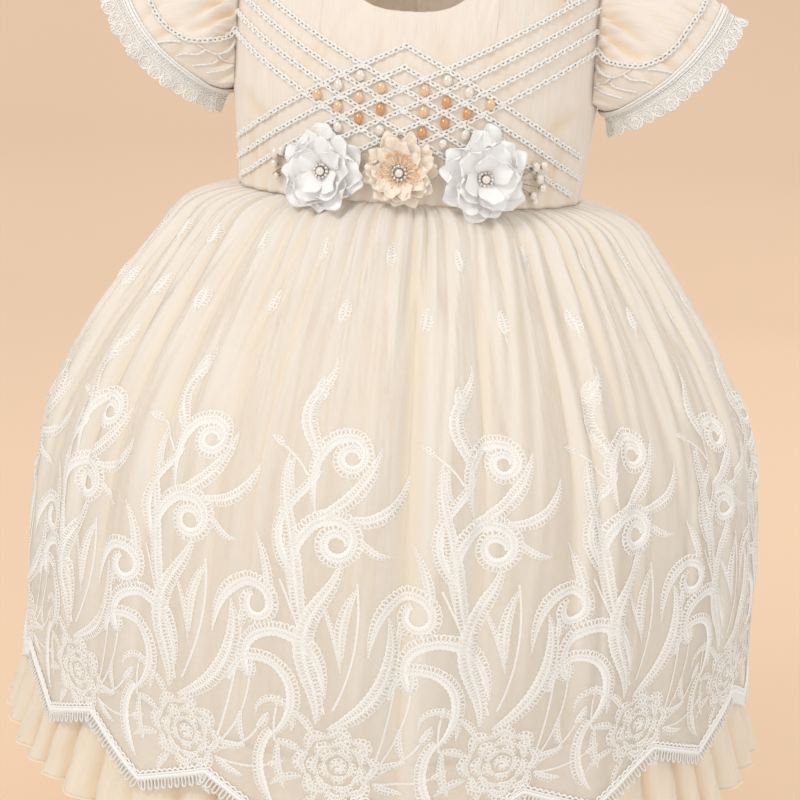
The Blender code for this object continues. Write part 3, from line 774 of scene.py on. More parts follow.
# %% Rows of the three skirt layers: height, rise at the sides, half width, half depth, gather, fold
NET_ROWS = (
    (-0.1573, 0.000, 0.0983, 0.0773, 0.0008, 0.00),
    (-0.1600, 0.000, 0.1130, 0.0800, 0.0026, 0.00),
    (-0.1680, 0.000, 0.1300, 0.0880, 0.0046, 0.15),
    (-0.1830, 0.000, 0.1430, 0.1030, 0.0056, 0.45),
    (-0.2080, 0.000, 0.1620, 0.1260, 0.0056, 0.80),
    (-0.2480, 0.002, 0.1870, 0.1545, 0.0046, 1.00),
    (-0.3000, 0.008, 0.2080, 0.1770, 0.0028, 1.00),
    (-0.3750, 0.021, 0.2160, 0.1915, 0.0014, 0.80),
    (-0.4520, 0.034, 0.2170, 0.1950, 0.0000, 0.45),
    (-0.4900, 0.034, 0.2190, 0.1970, 0.0000, 0.30),
)
LINING_ROWS = (
    (-0.1576, 0.000, 0.0960, 0.0750, 0.0000, 0.0),
    (-0.1660, 0.000, 0.1110, 0.0790, 0.0003, 0.0),
    (-0.1830, 0.000, 0.1310, 0.0925, 0.0006, 0.0),
    (-0.2080, 0.000, 0.1490, 0.1130, 0.0010, 0.0),
    (-0.2480, 0.002, 0.1745, 0.1420, 0.0014, 0.0),
    (-0.3000, 0.008, 0.1965, 0.1650, 0.0018, 0.0),
    (-0.3700, 0.020, 0.2050, 0.1800, 0.0018, 0.0),
    (-0.4370, 0.034, 0.2060, 0.1825, 0.0010, 0.0),
)
RUFFLE_ROWS = (
    (-0.4373, 0.034, 0.2062, 0.1827, 0.0010, 0.0),
    (-0.4550, 0.031, 0.2095, 0.1850, 0.0030, 0.0),
    (-0.4750, 0.027, 0.2155, 0.1905, 0.0046, 0.0),
    (-0.4960, 0.022, 0.2225, 0.1975, 0.0056, 0.0),
)
REPEATS = 16
REPEAT_TURN = math.tau / REPEATS
FIRST_TIP = math.radians(-9.0)
HEM_DROP = 0.020
NET_HEM_Z = -0.4520
NET_GIRTH = 1.296
REPEAT_WIDTH = NET_GIRTH / REPEATS

# Folds of the net on the front half, in degrees round the skirt; the back half has like ones
FRONT_FOLDS = (
    (-80, -76, 0.0040, 5.0), (-64, -58, 0.0032, 4.5), (-50, -42, 0.0042, 5.5), (-35, -28, 0.0030, 4.5),
    (-20, -15, 0.0036, 4.5), (-7, -5, 0.0024, 4.0), (5.5, 7, 0.0095, 2.2), (20, 17, 0.0034, 4.5),
    (34, 29, 0.0030, 5.0), (50, 44, 0.0042, 5.5), (66, 60, 0.0034, 4.5), (82, 77, 0.0040, 5.0),
)
BACK_FOLD_TURN = 183.0


def smooth_rows(rows, t):
    """Values between the rows of a table on a curve that passes through each."""
    rows = np.asarray(rows)
    i = np.clip(np.floor(t).astype(int), 0, len(rows) - 2)
    f = (t - i)[..., None]
    before, after = np.maximum(i - 1, 0), np.minimum(i + 2, len(rows) - 1)
    return between(rows[before], rows[i], rows[i + 1], rows[after], f)


def uneven_wave(turn, counts, seed):
    """A closed wave of several counts round the gown, so its crests are unlike each other."""
    chance = np.random.default_rng(seed)
    wave = np.zeros_like(turn)
    for k, count in enumerate(counts):
        wave += np.cos(count * turn + chance.uniform(0, math.tau)) / (1 + 0.45 * k)
    return wave / 1.6


def net_folds(turn, down):
    """How far the soft folds draw the net in; down is 0 at the waist and 1 at the hem."""
    degrees = np.degrees(turn)
    depth = np.zeros_like(turn)
    for back in (0.0, BACK_FOLD_TURN):
        for at_waist, at_hem, deep, half_width in FRONT_FOLDS:
            centre = at_waist + (at_hem - at_waist) * down + back
            away = ((degrees - centre + 180.0) % 360.0 - 180.0) / half_width
            depth += deep * np.exp(-(away**2))
    return depth


class SkirtForm:
    """A skirt layer: from a turn and a length down the cloth to a point."""

    def __init__(self, rows, waves, folds=None):
        self.rows = np.array(rows)
        self.waves = waves
        self.folds = folds
        self.t = np.linspace(0, len(rows) - 1, 900)
        profile = smooth_rows(self.rows, self.t)
        radius = (profile[:, 2] + profile[:, 3]) / 2
        steps = np.hypot(np.diff(profile[:, 0]), np.diff(radius))
        self.down = np.concatenate([[0], np.cumsum(steps)])
        self.length = self.down[-1]
        self.heights = profile[:, 0]

    def down_at(self, z):
        """Length down the cloth at which the front reaches height z."""
        return float(np.interp(-z, -self.heights, self.down))

    def points(self, turn, down, extra=0.0):
        values = smooth_rows(self.rows, np.interp(down, self.down, self.t))
        z, rise, half_width, half_depth, gather, fold = np.moveaxis(values, -1, 0)
        out = gather * self.waves(turn, down) + extra
        if self.folds:
            share = (z - self.rows[0, 0]) / (NET_HEM_Z - self.rows[0, 0])
            out = out - fold * self.folds(turn, share)
        x = (half_width + out) * np.sin(turn)
        y = -(half_depth + out) * np.cos(turn)
        return np.stack([x, y, z + rise * np.sin(turn) ** 2], axis=-1)


def tubes(turn, count, seed, wander):
    """Round tubes side by side, unlike in width, with narrow valleys between them."""
    phase = count * turn / 2 + wander * uneven_wave(turn, (5, 8, 13, 21), seed)
    return 1.7 * np.abs(np.sin(phase)) ** 0.75 - 1.15


def net_waves(turn, down):
    """Gathered tubes at the waist that merge into fewer, wider ones on the way down."""
    lean = turn + 0.05 * down * np.sin(turn * 3)
    merge = np.clip((down - 0.015) / 0.075, 0, 1)
    fine = 0.16 * uneven_wave(turn + 0.4 * down, (97, 131, 173), 9)
    narrow = tubes(turn, 62, 5, 1.9) * 0.9
    wide = tubes(lean, 27, 8, 2.4) * (0.25 + 0.60 * merge)
    return narrow * (1 - merge) + wide + 0.30 * tubes(turn - 0.3 * down, 51, 14, 2.0) * merge + fine


def lining_waves(turn, down):
    return uneven_wave(turn, (9, 14, 21), 3)


net_form = SkirtForm(NET_ROWS, net_waves, net_folds)
lining_form = SkirtForm(LINING_ROWS, lining_waves)
print("net cloth from waist to pattern end:", round(net_form.length, 4), "m")

# %% The net, its hem in sixteen shallow points
NET_COLUMNS = 640
NET_LINES = 58
NET_THICK = 0.0005
net_hem_down = net_form.down_at(NET_HEM_Z)


def hem_point_share(turn):
    """1 at the tips of the hem's points and 0 at the notches between them."""
    share = ((turn - FIRST_TIP) / REPEAT_TURN) % 1.0
    return np.abs(2 * share - 1)


def flat_across(turn):
    return (turn + math.pi) / math.tau * NET_GIRTH


def make_net():
    turn = np.linspace(-math.pi, math.pi, NET_COLUMNS + 1)
    reach = net_hem_down + HEM_DROP * hem_point_share(turn)
    share = np.interp(np.linspace(0, 8, NET_LINES), net_form.t, net_form.down) / net_hem_down
    down = share[:, None] * reach[None, :]
    turns = np.broadcast_to(turn, down.shape)
    uvs = np.stack([flat_across(turns), net_form.length - down], axis=-1)
    points = net_form.points(turns, down)
    radius = np.hypot(points[..., 0], points[..., 1])
    steep = np.abs(np.gradient(radius, axis=1)) / (radius * math.tau / NET_COLUMNS)
    made = sheet_mesh("net_overskirt", points, uvs, net_material)
    note(made, "steep", np.clip(steep * 1.1, 0, 1))
    # The hollow attribute marks the valleys between the gathers, for the finish's painted shade.
    note(made, "hollow", hollowness(points, from_axis(points), 8, 0.0030))
    made.visible_shadow = False
    return made


def make_net_guide():
    """The net's form carried on below its hem, for the trims to lie on."""
    turn = np.linspace(-math.pi, math.pi, 513)
    down = np.linspace(0, net_form.length, 130)
    turns, downs = np.meshgrid(turn, down)
    uvs = np.stack([flat_across(turns), net_form.length - downs], axis=-1)
    return sheet_mesh("net_guide", net_form.points(turns, downs), uvs, net_material)


net = make_net()
net_guide = make_net_guide()
print("net area", round(area_of(net), 4), "m2")

# %% [markdown]
# ## Embroidery on the net
# Machine embroidery on net is thick satin stitch: a band of threads laid side by side across a drawn line,
# which swells in the middle of a leaf and narrows to its tip. One repeat is drawn here as lines with a half
# width: a tall plume, three snail curls, leaves that sweep out to the side, hooks, a rose near the hem and
# buds on fine stems. The tree above turns each line into a ribbed band, repeats it sixteen times and lays
# it on the net. It is a scroll pattern of the common kind, laid out like the photo's: one formula winds
# each stem, leaf and curl from a start, a heading, a length and a bend.

# %% Widths along a drawn line, and the parts of the pattern
MM = 0.001


def swelling(count, width, kind):
    """Half widths along a line: a leaf is fullest midway, a curl narrows to its tail, a stem stays even."""
    s = np.linspace(0, 1, count)
    if kind == "leaf":
        shape = np.sin(math.pi * s**0.85) ** 0.65
    elif kind == "curl":
        shape = np.clip(s / 0.30, 0, 1) ** 0.8 * (1 - 0.30 * s) * np.clip((1 - s) / 0.05, 0.3, 1) ** 0.5
    elif kind == "tail":
        shape = np.clip((1 - s) / 0.35, 0, 1) ** 0.8
    else:
        shape = np.ones(count)
    return width * np.maximum(shape, 0.12)


def drawn(points, width, kind="leaf", lift=0.3, step=1.4):
    """One line of the pattern in millimetres: its half width along it, its lift, and its denser edge."""
    path = curved(points, step)
    dx, dy = np.diff(path, axis=0).T
    bend = np.sign(np.sum(dx[:-1] * dy[1:] - dy[:-1] * dx[1:]))
    tone = {"stem": 2.6, "curl": -bend, "leaf": -0.5 * bend}.get(kind, 0.0)
    return path, swelling(len(path), width * (1.12 if kind == "curl" else 1.0), kind), lift, tone


def sweep(x, y, heading, length, bend, tight=1.0, sway=0.0):
    """A line that sets out from (x, y) and turns by bend degrees: later for a larger tight, with a sway."""
    count = max(8, int(length / 4))
    s = (np.arange(count) + 0.5) / count
    turn = np.radians(heading + bend * s**tight + sway * np.sin(math.tau * s))
    steps = np.stack([np.cos(turn), np.sin(turn)], axis=-1) * length / count
    return np.array([x, y]) + np.concatenate([[[0.0, 0.0]], np.cumsum(steps, axis=0)])


def bud(x, y, angle, size=1.0):
    """A closed bud: one short full leaf that bends a little."""
    turn = math.radians(angle)
    tip = (x + math.cos(turn) * 12 * size, y + math.sin(turn) * 12 * size)
    middle = ((x + tip[0]) / 2 + 0.9 * math.sin(turn) * size, (y + tip[1]) / 2 - 0.9 * math.cos(turn) * size)
    return [drawn([(x, y), middle, tip], 2.5 * size, step=1.1)]


def rose(x, y, radius):
    """Rings of scalloped petals, each ring turned against the next, round a small curled heart."""
    lines = []
    for ring, (share, scallops, width) in enumerate(((1.0, 8, 3.0), (0.70, 7, 2.8), (0.42, 5, 2.4))):
        r = radius * share
        for k in range(scallops):
            centre = math.tau * k / scallops + ring * 0.55
            half = math.pi / scallops * 1.08
            turns = np.linspace(centre - half, centre + half, 5)
            crest = np.cos((turns - centre) / half * math.pi / 2) ** 2
            swell = 0.93 + 0.20 * crest + 0.05 * math.sin(5 * k + ring)
            points = np.column_stack([x + r * swell * np.cos(turns), y + r * swell * np.sin(turns)])
            lines.append(drawn(points, width))
    lines.append(drawn(sweep(x - 3, y - 2, 95, 17, -340, 1.3), 2.1, "curl"))
    return lines


def budded(x, y, heading, length, bend, size=1.0):
    """A fine stem with a bud at its end."""
    points = sweep(x, y, heading, length, bend)
    return [drawn(points, 0.6, "stem", lift=0.25)] + bud(*points[-1], heading + bend, size)


# %% One repeat of the embroidery, in millimetres from a hem tip and up from the pattern's lower edge
ROSE = (28, 57, 17)
SCROLLS = (
    # x, y, heading, length, bend, tight, sway, half width, kind
    (16, 78, 78, 92, 14, 1.0, 30, 5.4, "leaf"),
    (22, 76, 22, 72, 88, 1.0, 0, 4.6, "leaf"),
    (13, 116, 126, 104, -48, 1.0, -12, 4.0, "leaf"),
    (0, 140, 100, 124, -560, 2.1, 0, 4.3, "curl"),
    (8, 186, 104, 110, -560, 2.1, 0, 3.9, "curl"),
    (6, 206, 66, 66, 44, 1.0, 42, 4.2, "leaf"),
    (7, 142, 118, 76, -58, 1.0, 22, 3.0, "curl"),
    (5, 181, 18, 56, 62, 1.0, 0, 4.2, "leaf"),
    (22, 184, -18, 46, 104, 1.0, 0, 3.5, "leaf"),
    (40, 116, 86, 92, -430, 2.0, 0, 3.9, "curl"),
    (27, 112, 104, 40, -46, 1.0, 0, 3.2, "leaf"),
    (-12, 132, 84, 42, 40, 1.0, 0, 2.6, "leaf"),
    (31, 176, 300, 22, 62, 1.0, 0, 2.2, "leaf"),
    (-3, 194, 128, 22, -66, 1.0, 0, 2.2, "leaf"),
)
HOOKS = (
    (20, 92, 94, 86, 218, 1.5, 0, 4.2, "curl"),
    (-8, 66, 42, 84, 232, 1.4, 0, 3.6, "curl"),
    (4, 72, 70, 38, 210, 1.2, 0, 2.1, "leaf"),
    (27, 106, 98, 44, 26, 1.0, 0, 1.4, "leaf"),
    (-2, 30, 138, 46, -84, 1.0, 0, 3.2, "curl"),
    (2, 41, 118, 28, -40, 1.0, 0, 2.2, "leaf"),
    (-20, 60, 128, 20, -62, 1.0, 0, 2.0, "leaf"),
)
SPRAYS = (
    # x, y, heading, length, bend, size of the bud
    (46, 60, 74, 62, 16, 1.0), (47, 57, 52, 42, 34, 1.0), (48, 54, 18, 26, 44, 0.95),
    (46, 49, -14, 28, 40, 0.8), (2, 204, 118, 20, 34, 0.8), (-4, 66, 100, 18, -20, 0.6),
)
STEMS = ((20, 84, 106, 72, 12), (24, 86, 66, 68, 34))
ROSE_LEAVES = (-62, -24, 4, 132, 164, 204, 240)


def swept(table):
    return [drawn(sweep(*row[:7]), row[7], row[8]) for row in table]


def rose_leaves():
    """Small leaves that stand out round the rose, long and short by turns."""
    x, y, radius = ROSE
    lines = []
    for k, angle in enumerate(ROSE_LEAVES):
        out = math.radians(angle)
        foot = (x + radius * 1.12 * math.cos(out), y + radius * 1.12 * math.sin(out))
        lines.append(drawn(sweep(*foot, angle - 24, 15 + 3 * (k % 2), 50), 2.2))
    return lines


def rose_lines():
    lines = rose(*ROSE)
    for row in SPRAYS:
        lines += budded(*row)
    return lines + [drawn(sweep(*row), 0.6, "stem", lift=0.25) for row in STEMS]


def flat_lines(lines, start_x, start_y=0.0):
    """Pattern lines from millimetres to places on the net."""
    moved = []
    for path, widths, lift, tone in lines:
        x = start_x + path[:, 0] * MM
        y = start_y + path[:, 1] * MM
        moved.append((np.column_stack([x, y, np.full(len(x), lift * MM)]), widths * MM, tone))
    return moved


FIRST_TIP_ACROSS = (flat_across(FIRST_TIP)) % REPEAT_WIDTH
STITCH_PITCH = 0.0015
PATTERN = {
    "embroidery_scrolls": swept(SCROLLS),
    "embroidery_hooks": swept(HOOKS) + rose_leaves(),
    "embroidery_roses": rose_lines(),
}
for name, lines in PATTERN.items():
    values = {
        "Stitch Pitch": STITCH_PITCH, "Repeats": REPEATS, "Repeat Step": REPEAT_WIDTH,
        "Cloth": net_guide, "Girth": NET_GIRTH, "Material": stitch_white,
    }
    bands = make_from(line_object(name, flat_lines(lines, FIRST_TIP_ACROSS)), loop_stitch, name, values)
    bands.visible_shadow = False
    dress(bands, "embroidered_net")

# %% Small sprigs scattered over the upper net, every second row moved by half a step
SPRIG_ROWS = ((-0.187, 24, 0.0), (-0.216, 24, 0.5), (-0.252, 16, 0.62))

def sprig(x, y, lean):
    """A small lace leaf on a short stem."""
    turn = math.radians(90 + lean)
    along = np.array([math.cos(turn), math.sin(turn)])
    aside = np.array([math.sin(turn), -math.cos(turn)])
    foot = np.array([x, y])
    leaf = [foot, foot + along * 5 + aside * 0.8, foot + along * 10 + aside * 0.4, foot + along * 15]
    stalk = [foot, foot - along * 2 - aside * 0.5, foot - along * 5]
    return [drawn(leaf, 4.0, step=1.0), drawn(stalk, 0.6, "tail")]


def sprig_lines():
    chance = np.random.default_rng(11)
    lines = []
    for z, count, offset in SPRIG_ROWS:
        up = (net_form.length - net_form.down_at(z)) / MM
        for k in range(count):
            x = (k + offset) * NET_GIRTH / MM / count
            lines += sprig(x, up + chance.uniform(-2, 2), chance.uniform(-14, 14))
    return lines


values = {"Stitch Pitch": 0.0013, "Cloth": net_guide, "Girth": NET_GIRTH, "Material": stitch_sheer}
sprigs = line_object("net_sprigs", flat_lines(sprig_lines(), 0.0))
sprigs = make_from(sprigs, loop_stitch, "net_sprigs", values)
sprigs.visible_shadow = False
dress(sprigs, "embroidered_net")

# %% The hem's cords and its fringe of purl loops
def ring_part(name, length, width, wire, around=10, sides=5, drop=0.0):
    """A small closed loop of cord, flat in the XY plane; drop hangs it from its upper end."""
    points, faces = [], []
    for i in range(around):
        turn = math.tau * i / around
        centre = Vector((length / 2 * math.cos(turn), width / 2 * math.sin(turn) - drop, 0))
        out = Vector((math.cos(turn) / length, math.sin(turn) / width, 0)).normalized()
        for k in range(sides):
            ring = math.tau * k / sides
            points.append(centre + out * wire * math.cos(ring) + Vector((0, 0, wire * math.sin(ring))))
    for i in range(around):
        for k in range(sides):
            a, b = i * sides, (i + 1) % around * sides
            c = (k + 1) % sides
            faces.append((a + k, b + k, b + c, a + c))
    mesh = bpy.data.meshes.new(name)
    mesh.from_pydata(points, [], faces)
    return linked(name, mesh)


def hem_line(inset, wave=0.0):
    """The net's edge once round, moved up into the cloth by inset, straight or wavy."""
    turn = np.linspace(-math.pi, math.pi, REPEATS * 120 + 1)
    up = net_form.length - net_hem_down - HEM_DROP * hem_point_share(turn) + inset + wave * np.sin(turn * 384)
    return np.column_stack([flat_across(turn), up, np.full(len(turn), 0.0006)])


HEM_CORDS = ((0.0010, 0.0, 0.00115), (0.0027, 0.0, 0.00065), (0.0044, 0.0007, 0.00062))
cords = [(hem_line(inset, wave), half_width, 3.0) for inset, wave, half_width in HEM_CORDS]
values = {
    "Stitch Pitch": 0.0011, "Stitch Swell": 0.14, "Height Share": 0.8,
    "Cloth": net_guide, "Girth": NET_GIRTH, "Material": stitch_white,
}
hem_cords = make_from(line_object("hem_cords", cords), cord_stitch, "hem_cords", values)
loop = ring_part("purl_loop", 0.0025, 0.0058, 0.00050, around=12, sides=4, drop=0.0027)
values = {
    "Pitch": 0.0023, "Lift": 0.0002, "Tip": 0.16, "Cloth": net_guide, "Part": loop,
    "Girth": NET_GIRTH, "Material": lace_cotton,
}
purl = make_from(line_object("hem_purl", [(hem_line(0.0), 0.0, 0.0)]), parts_along_line, "hem_purl", values)
bpy.data.objects.remove(loop)
bpy.data.objects.remove(net_guide)
dress(hem_cords, "white_lace")
dress(purl, "white_lace", "net_edging")
dress(thicken(weld(net), NET_THICK), "embroidered_net", "net_skirt")
print("net triangles", triangles(net))

# %% [markdown]
# ## Lining and hem ruffle
# Under the net hangs a plain satin lining, and a gathered satin ruffle is sewn to its lower edge. The ruffle
# is what shows below the points of the net: narrow flutes that start tight at the seam and open towards the
# edge, each leaning a little. Both are sheets with a real thickness.

# %% Lining
def tube_sheet(name, form, columns, lines, material, width, start=-math.pi):
    turn = np.linspace(start, start + math.tau, columns + 1)
    down = np.interp(np.linspace(0, len(form.rows) - 1, lines), form.t, form.down)
    turns, downs = np.meshgrid(turn, down)
    uvs = np.stack([(turns - start) / math.tau * width, form.length - downs], axis=-1)
    points = form.points(turns, downs)
    made = sheet_mesh(name, points, uvs, material)
    # The hollow attribute marks the valleys of the waves and flutes, for the finish's painted shade.
    note(made, "hollow", hollowness(points, from_axis(points), 5, 0.0035))
    return made


LINING_GIRTH = 1.225
lining = tube_sheet("satin_lining", lining_form, 240, 56, lining_satin, LINING_GIRTH)
print("lining area", round(area_of(lining), 4), "m2")
dress(thicken(weld(lining), 0.0008), "skirt_lining", "lining_skirt")

# %% Ruffle
RUFFLE_FLUTES = 54
RUFFLE_FLAT = 2.05


def flutes(turn, down):
    """Round flutes that lean and vary, with flat troughs between them."""
    lean = turn + 0.026 * uneven_wave(turn, (7, 13, 19), 21) + 0.45 * (down - 0.03) * np.sin(turn * 4)
    wave = 1.7 * np.abs(np.sin(RUFFLE_FLUTES * lean / 2)) ** 0.8 - 1.0
    crumple = 0.13 * uneven_wave(turn + down * 2, (141, 173, 211), 6)
    return wave * (1 + 0.35 * uneven_wave(turn, (5, 11, 17), 4)) + crumple


ruffle_form = SkirtForm(RUFFLE_ROWS, flutes)
ruffle = tube_sheet("hem_ruffle_cloth", ruffle_form, RUFFLE_FLUTES * 14, 22, ruffle_satin, RUFFLE_FLAT)
print("ruffle area", round(area_of(ruffle), 4), "m2")
edge = np.linspace(0, RUFFLE_FLAT, 1201)
edge = np.column_stack([edge, np.full(1201, 0.0004), np.zeros(1201)])
values = {
    "Stitch Pitch": 0.0026, "Stitch Swell": 0.03, "Height Share": 1.0,
    "Cloth": ruffle, "Girth": RUFFLE_FLAT, "Material": ruffle_satin,
}
rolled_edge = make_from(line_object("edge", [(edge, 0.0008, 3.0)]), cord_stitch, "ruffle_rolled_edge", values)
dress(rolled_edge, "hem_ruffle")
dress(thicken(weld(ruffle), 0.0006), "hem_ruffle", "hem_ruffle")
print("ruffle triangles", triangles(ruffle))

# %% [markdown]
# ## Bodice
# The bodice is cut in three: a front, and two backs that lap over each other at a buttoned placket. The
# chest is a flat oval, a little narrower at the waist, and above the chest the cloth arches back to the
# shoulder seam. A wide round neck is cut into the arch. The cloth has a fine upright crinkle, and it
# puckers slightly where the skirt is sewn on, so hollows are pressed into the sheets.

# %% The bodice's form
WAIST_Z = -0.157
CHEST_Z = -0.100
CHEST_HALF = (0.104, 0.080)
WAIST_HALF = (0.098, 0.077)
SECTION_POWER = 2.3
ARCH_POWER = 1.9
NECK_HALF_WIDTH = 0.048
FRONT_NECK_DROP = 0.055
BACK_NECK_DROP = 0.016
SHOULDER_X = 0.1005
SHOULDER_DROP = 0.022
ARMHOLE_DIP = 0.003
PLACKET_LAP = 0.008
BODICE_THICK = 0.0011
BODICE_LOWER_ROWS = 28
BODICE_UPPER_ROWS = 46
PATTERN_MIDDLE = 0.2
PATTERN_TOP = 0.3


def lerp(low, high, share):
    return low + (high - low) * share


def chest_depth_at(x):
    share = min(1.0, abs(x) / CHEST_HALF[0])
    return CHEST_HALF[1] * (1.0 - share**SECTION_POWER) ** (1.0 / SECTION_POWER)


def chest_x_at(depth):
    share = min(1.0, abs(depth) / CHEST_HALF[1])
    return CHEST_HALF[0] * (1.0 - share**SECTION_POWER) ** (1.0 / SECTION_POWER)


def shoulder_line_z(x):
    return -SHOULDER_DROP * max(0.0, (abs(x) - NECK_HALF_WIDTH) / (SHOULDER_X - NECK_HALF_WIDTH))


def neck_angle(x, drop):
    """Turn along the arch over the shoulder at which the column at x meets the neckline."""
    lowest = math.asin(((CHEST_Z + drop) / CHEST_Z) ** (ARCH_POWER / 2.0))
    share = 1.0 - (1.0 - min(1.0, abs(x) / NECK_HALF_WIDTH) ** 3.0) ** (1.0 / 3.0)
    return lerp(lowest, math.pi / 2, share)


def lower_point(x, depth, z):
    share = (z - WAIST_Z) / (CHEST_Z - WAIST_Z)
    wide = lerp(WAIST_HALF[0], CHEST_HALF[0], share) / CHEST_HALF[0]
    deep = lerp(WAIST_HALF[1], CHEST_HALF[1], share) / CHEST_HALF[1]
    return Vector((x * wide, -depth * deep, z))


def upper_point(x, angle):
    forward = chest_depth_at(x) * max(0.0, math.cos(angle)) ** (2.0 / ARCH_POWER)
    up = (shoulder_line_z(x) - CHEST_Z) * math.sin(angle) ** (2.0 / ARCH_POWER)
    return Vector((x, -forward, CHEST_Z + up))


def front_point(x, z):
    """Point of the front's cloth at x and height z."""
    if z < CHEST_Z:
        return lower_point(x, chest_depth_at(x), z)
    rise = (z - CHEST_Z) / (shoulder_line_z(x) - CHEST_Z)
    return upper_point(x, math.asin(min(1.0, rise) ** (ARCH_POWER / 2.0)))


def front_frame(x, z, level=False):
    """Matrix whose Z points out of the front at (x, z) and whose Y points up along it."""
    step = 0.001
    across = (front_point(x + step, z) - front_point(x - step, z)).normalized()
    up = (front_point(x, z + step) - front_point(x, z - step)).normalized()
    if level:
        across = Vector((across.x, across.y, 0)).normalized()
        up = Vector((0, 0, 1))
    out = across.cross(up).normalized()
    turn = Matrix((across, out.cross(across), out)).transposed().to_4x4()
    return Matrix.Translation(front_point(x, z)) @ turn


def rising_column(x, depth, top):
    """Points from the waist up to a height."""
    steps = range(BODICE_LOWER_ROWS + 1)
    return [lower_point(x, depth, lerp(WAIST_Z, top, i / BODICE_LOWER_ROWS)) for i in steps]


def body_column(x, drop):
    lower = rising_column(x, chest_depth_at(x), CHEST_Z)[:-1]
    top = neck_angle(x, drop)
    upper = [upper_point(x, top * i / BODICE_UPPER_ROWS) for i in range(BODICE_UPPER_ROWS + 1)]
    return lower + upper


def underarm_column(side, share):
    depth = max(0.0001, chest_depth_at(SHOULDER_X) * (1.0 - share))
    x = side * chest_x_at(depth)
    top = CHEST_Z - ARMHOLE_DIP * math.sin(share * math.pi / 2)
    return rising_column(x, depth, top)


def half_panel(side, drop):
    """Columns of half a panel from its centre to the side seam, each with its place on the flat pattern."""
    phases = math.pi / 4 * (1 - np.cos(math.pi * np.linspace(0, 1, 32)))
    places = []
    for x in NECK_HALF_WIDTH * np.sin(phases) ** (2 / 3):
        if not places or x - places[-1] > 0.0005 and x < NECK_HALF_WIDTH - 0.0004:
            places.append(float(x))
    places.append(NECK_HALF_WIDTH)
    places += list(np.linspace(NECK_HALF_WIDTH, SHOULDER_X, 20)[1:])
    columns = [(side * x, body_column(side * x, drop)) for x in places]
    across = SHOULDER_X
    last = columns[-1][1][0]
    for i in range(1, 13):
        column = underarm_column(side, i / 12)
        across += (column[0] - last).length
        last = column[0]
        columns.append((side * across, column))
    return columns


def troughs(u, v, marks):
    """Soft hollows along short lines, deepest midway: (u, v, u, v, half width, depth) in millimetres."""
    total = np.zeros_like(u)
    for mark in marks:
        u0, v0, u1, v1, half_width, depth = (m * MM for m in mark)
        du, dv = u1 - u0, v1 - v0
        t = np.clip(((u - u0) * du + (v - v0) * dv) / (du * du + dv * dv), 0, 1)
        away = np.hypot(u - u0 - t * du, v - v0 - t * dv) / half_width
        total -= depth * np.exp(-(away**2)) * np.sin(math.pi * (0.12 + 0.76 * t))
    return total


def pressed(thing, relief):
    """Moves each point of a sheet along its normal."""
    mesh = thing.data
    normals = np.array([n.vector for n in mesh.vertex_normals])
    points = np.array([v.co for v in mesh.vertices])
    mesh.vertices.foreach_set("co", (points + normals * relief[:, None]).ravel())
    mesh.update()
    return thing


def panel(name, columns, marks, back=False):
    """A bodice panel from columns ordered towards +X at the front; the back is the front turned about."""
    points, flats, faces, starts = [], [], [], []
    for across, column in columns:
        starts.append(len(points))
        for p in column:
            points.append((p.x, -p.y if back else p.y, p.z))
            flats.append((PATTERN_MIDDLE + across, p.z + PATTERN_TOP))
    for (a, (_, one)), (b, (_, two)) in zip(zip(starts, columns), zip(starts[1:], columns[1:])):
        for row in range(min(len(one), len(two)) - 1):
            face = (a + row, b + row, b + row + 1, a + row + 1)
            faces.append(face[::-1] if back else face)
    flats = np.array(flats)
    made = mesh_object(name, np.array(points), np.array(faces), flats, bodice_cloth)
    x, z = flats[:, 0] - PATTERN_MIDDLE, flats[:, 1] - PATTERN_TOP
    near_waist = np.exp(-((z - WAIST_Z) / 0.014) ** 2)
    crinkle = np.sin(x * 1150 + 9 * np.sin(z * 47)) + np.sin(x * 730 + 6 * np.sin(z * 61 + 2))
    puckers = np.sin(x * 620 + 2 * np.sin(x * 90)) * near_waist
    relief = troughs(x, z, marks) + crinkle * 0.00012 + puckers * 0.00070
    # The hollow attribute marks the troughs and puckers, for the finish's painted shade.
    note(made, "hollow", np.clip(-relief / 0.0014, 0, 1))
    return pressed(made, relief)


FRONT_HOLLOWS = (
    (-86, -152, -90, -118, 3.0, 1.3), (-77, -155, -80, -127, 2.6, 1.0), (-69, -154, -70, -136, 2.4, 0.8),
    (84, -153, 88, -122, 3.0, 1.3), (74, -155, 77, -125, 2.8, 1.1), (64, -154, 66, -137, 2.2, 0.7),
    (-92, -103, -74, -122, 4.0, 1.1), (93, -104, 77, -120, 4.0, 1.2), (-40, -72, -62, -92, 6.0, 0.7),
    (44, -70, 60, -96, 6.0, 0.8), (-12, -66, -16, -92, 5.0, 0.5), (16, -64, 22, -88, 5.0, 0.5),
    (-66, -34, -88, -62, 5.0, 0.9), (68, -30, 88, -60, 5.0, 0.9), (-20, -150, -22, -128, 3.0, 0.5),
)
BACK_HOLLOWS = (
    (-84, -153, -88, -120, 3.2, 1.3), (-70, -155, -72, -128, 2.8, 1.1), (-52, -154, -54, -133, 2.8, 0.9),
    (80, -154, 86, -118, 3.2, 1.2), (66, -155, 69, -130, 2.8, 1.0), (45, -155, 47, -134, 2.6, 0.8),
    (-90, -100, -70, -118, 4.5, 1.1), (90, -102, 72, -121, 4.5, 1.1), (-30, -45, -44, -80, 6.0, 0.7),
    (30, -48, 46, -84, 6.0, 0.8), (-18, -100, -24, -132, 4.0, 0.6), (22, -96, 27, -126, 4.0, 0.6),
)
front_columns = half_panel(-1, FRONT_NECK_DROP)[::-1] + half_panel(1, FRONT_NECK_DROP)[1:]
bodice_front = panel("bodice_front_cloth", front_columns, FRONT_HOLLOWS)
lap_places = np.linspace(-PLACKET_LAP, 0, 7)[:-1]
left_lap = [(x, body_column(x, BACK_NECK_DROP)) for x in lap_places]
right_lap = [(-x, body_column(-x, BACK_NECK_DROP)) for x in lap_places[::-1]]
left_columns = left_lap + half_panel(1, BACK_NECK_DROP)
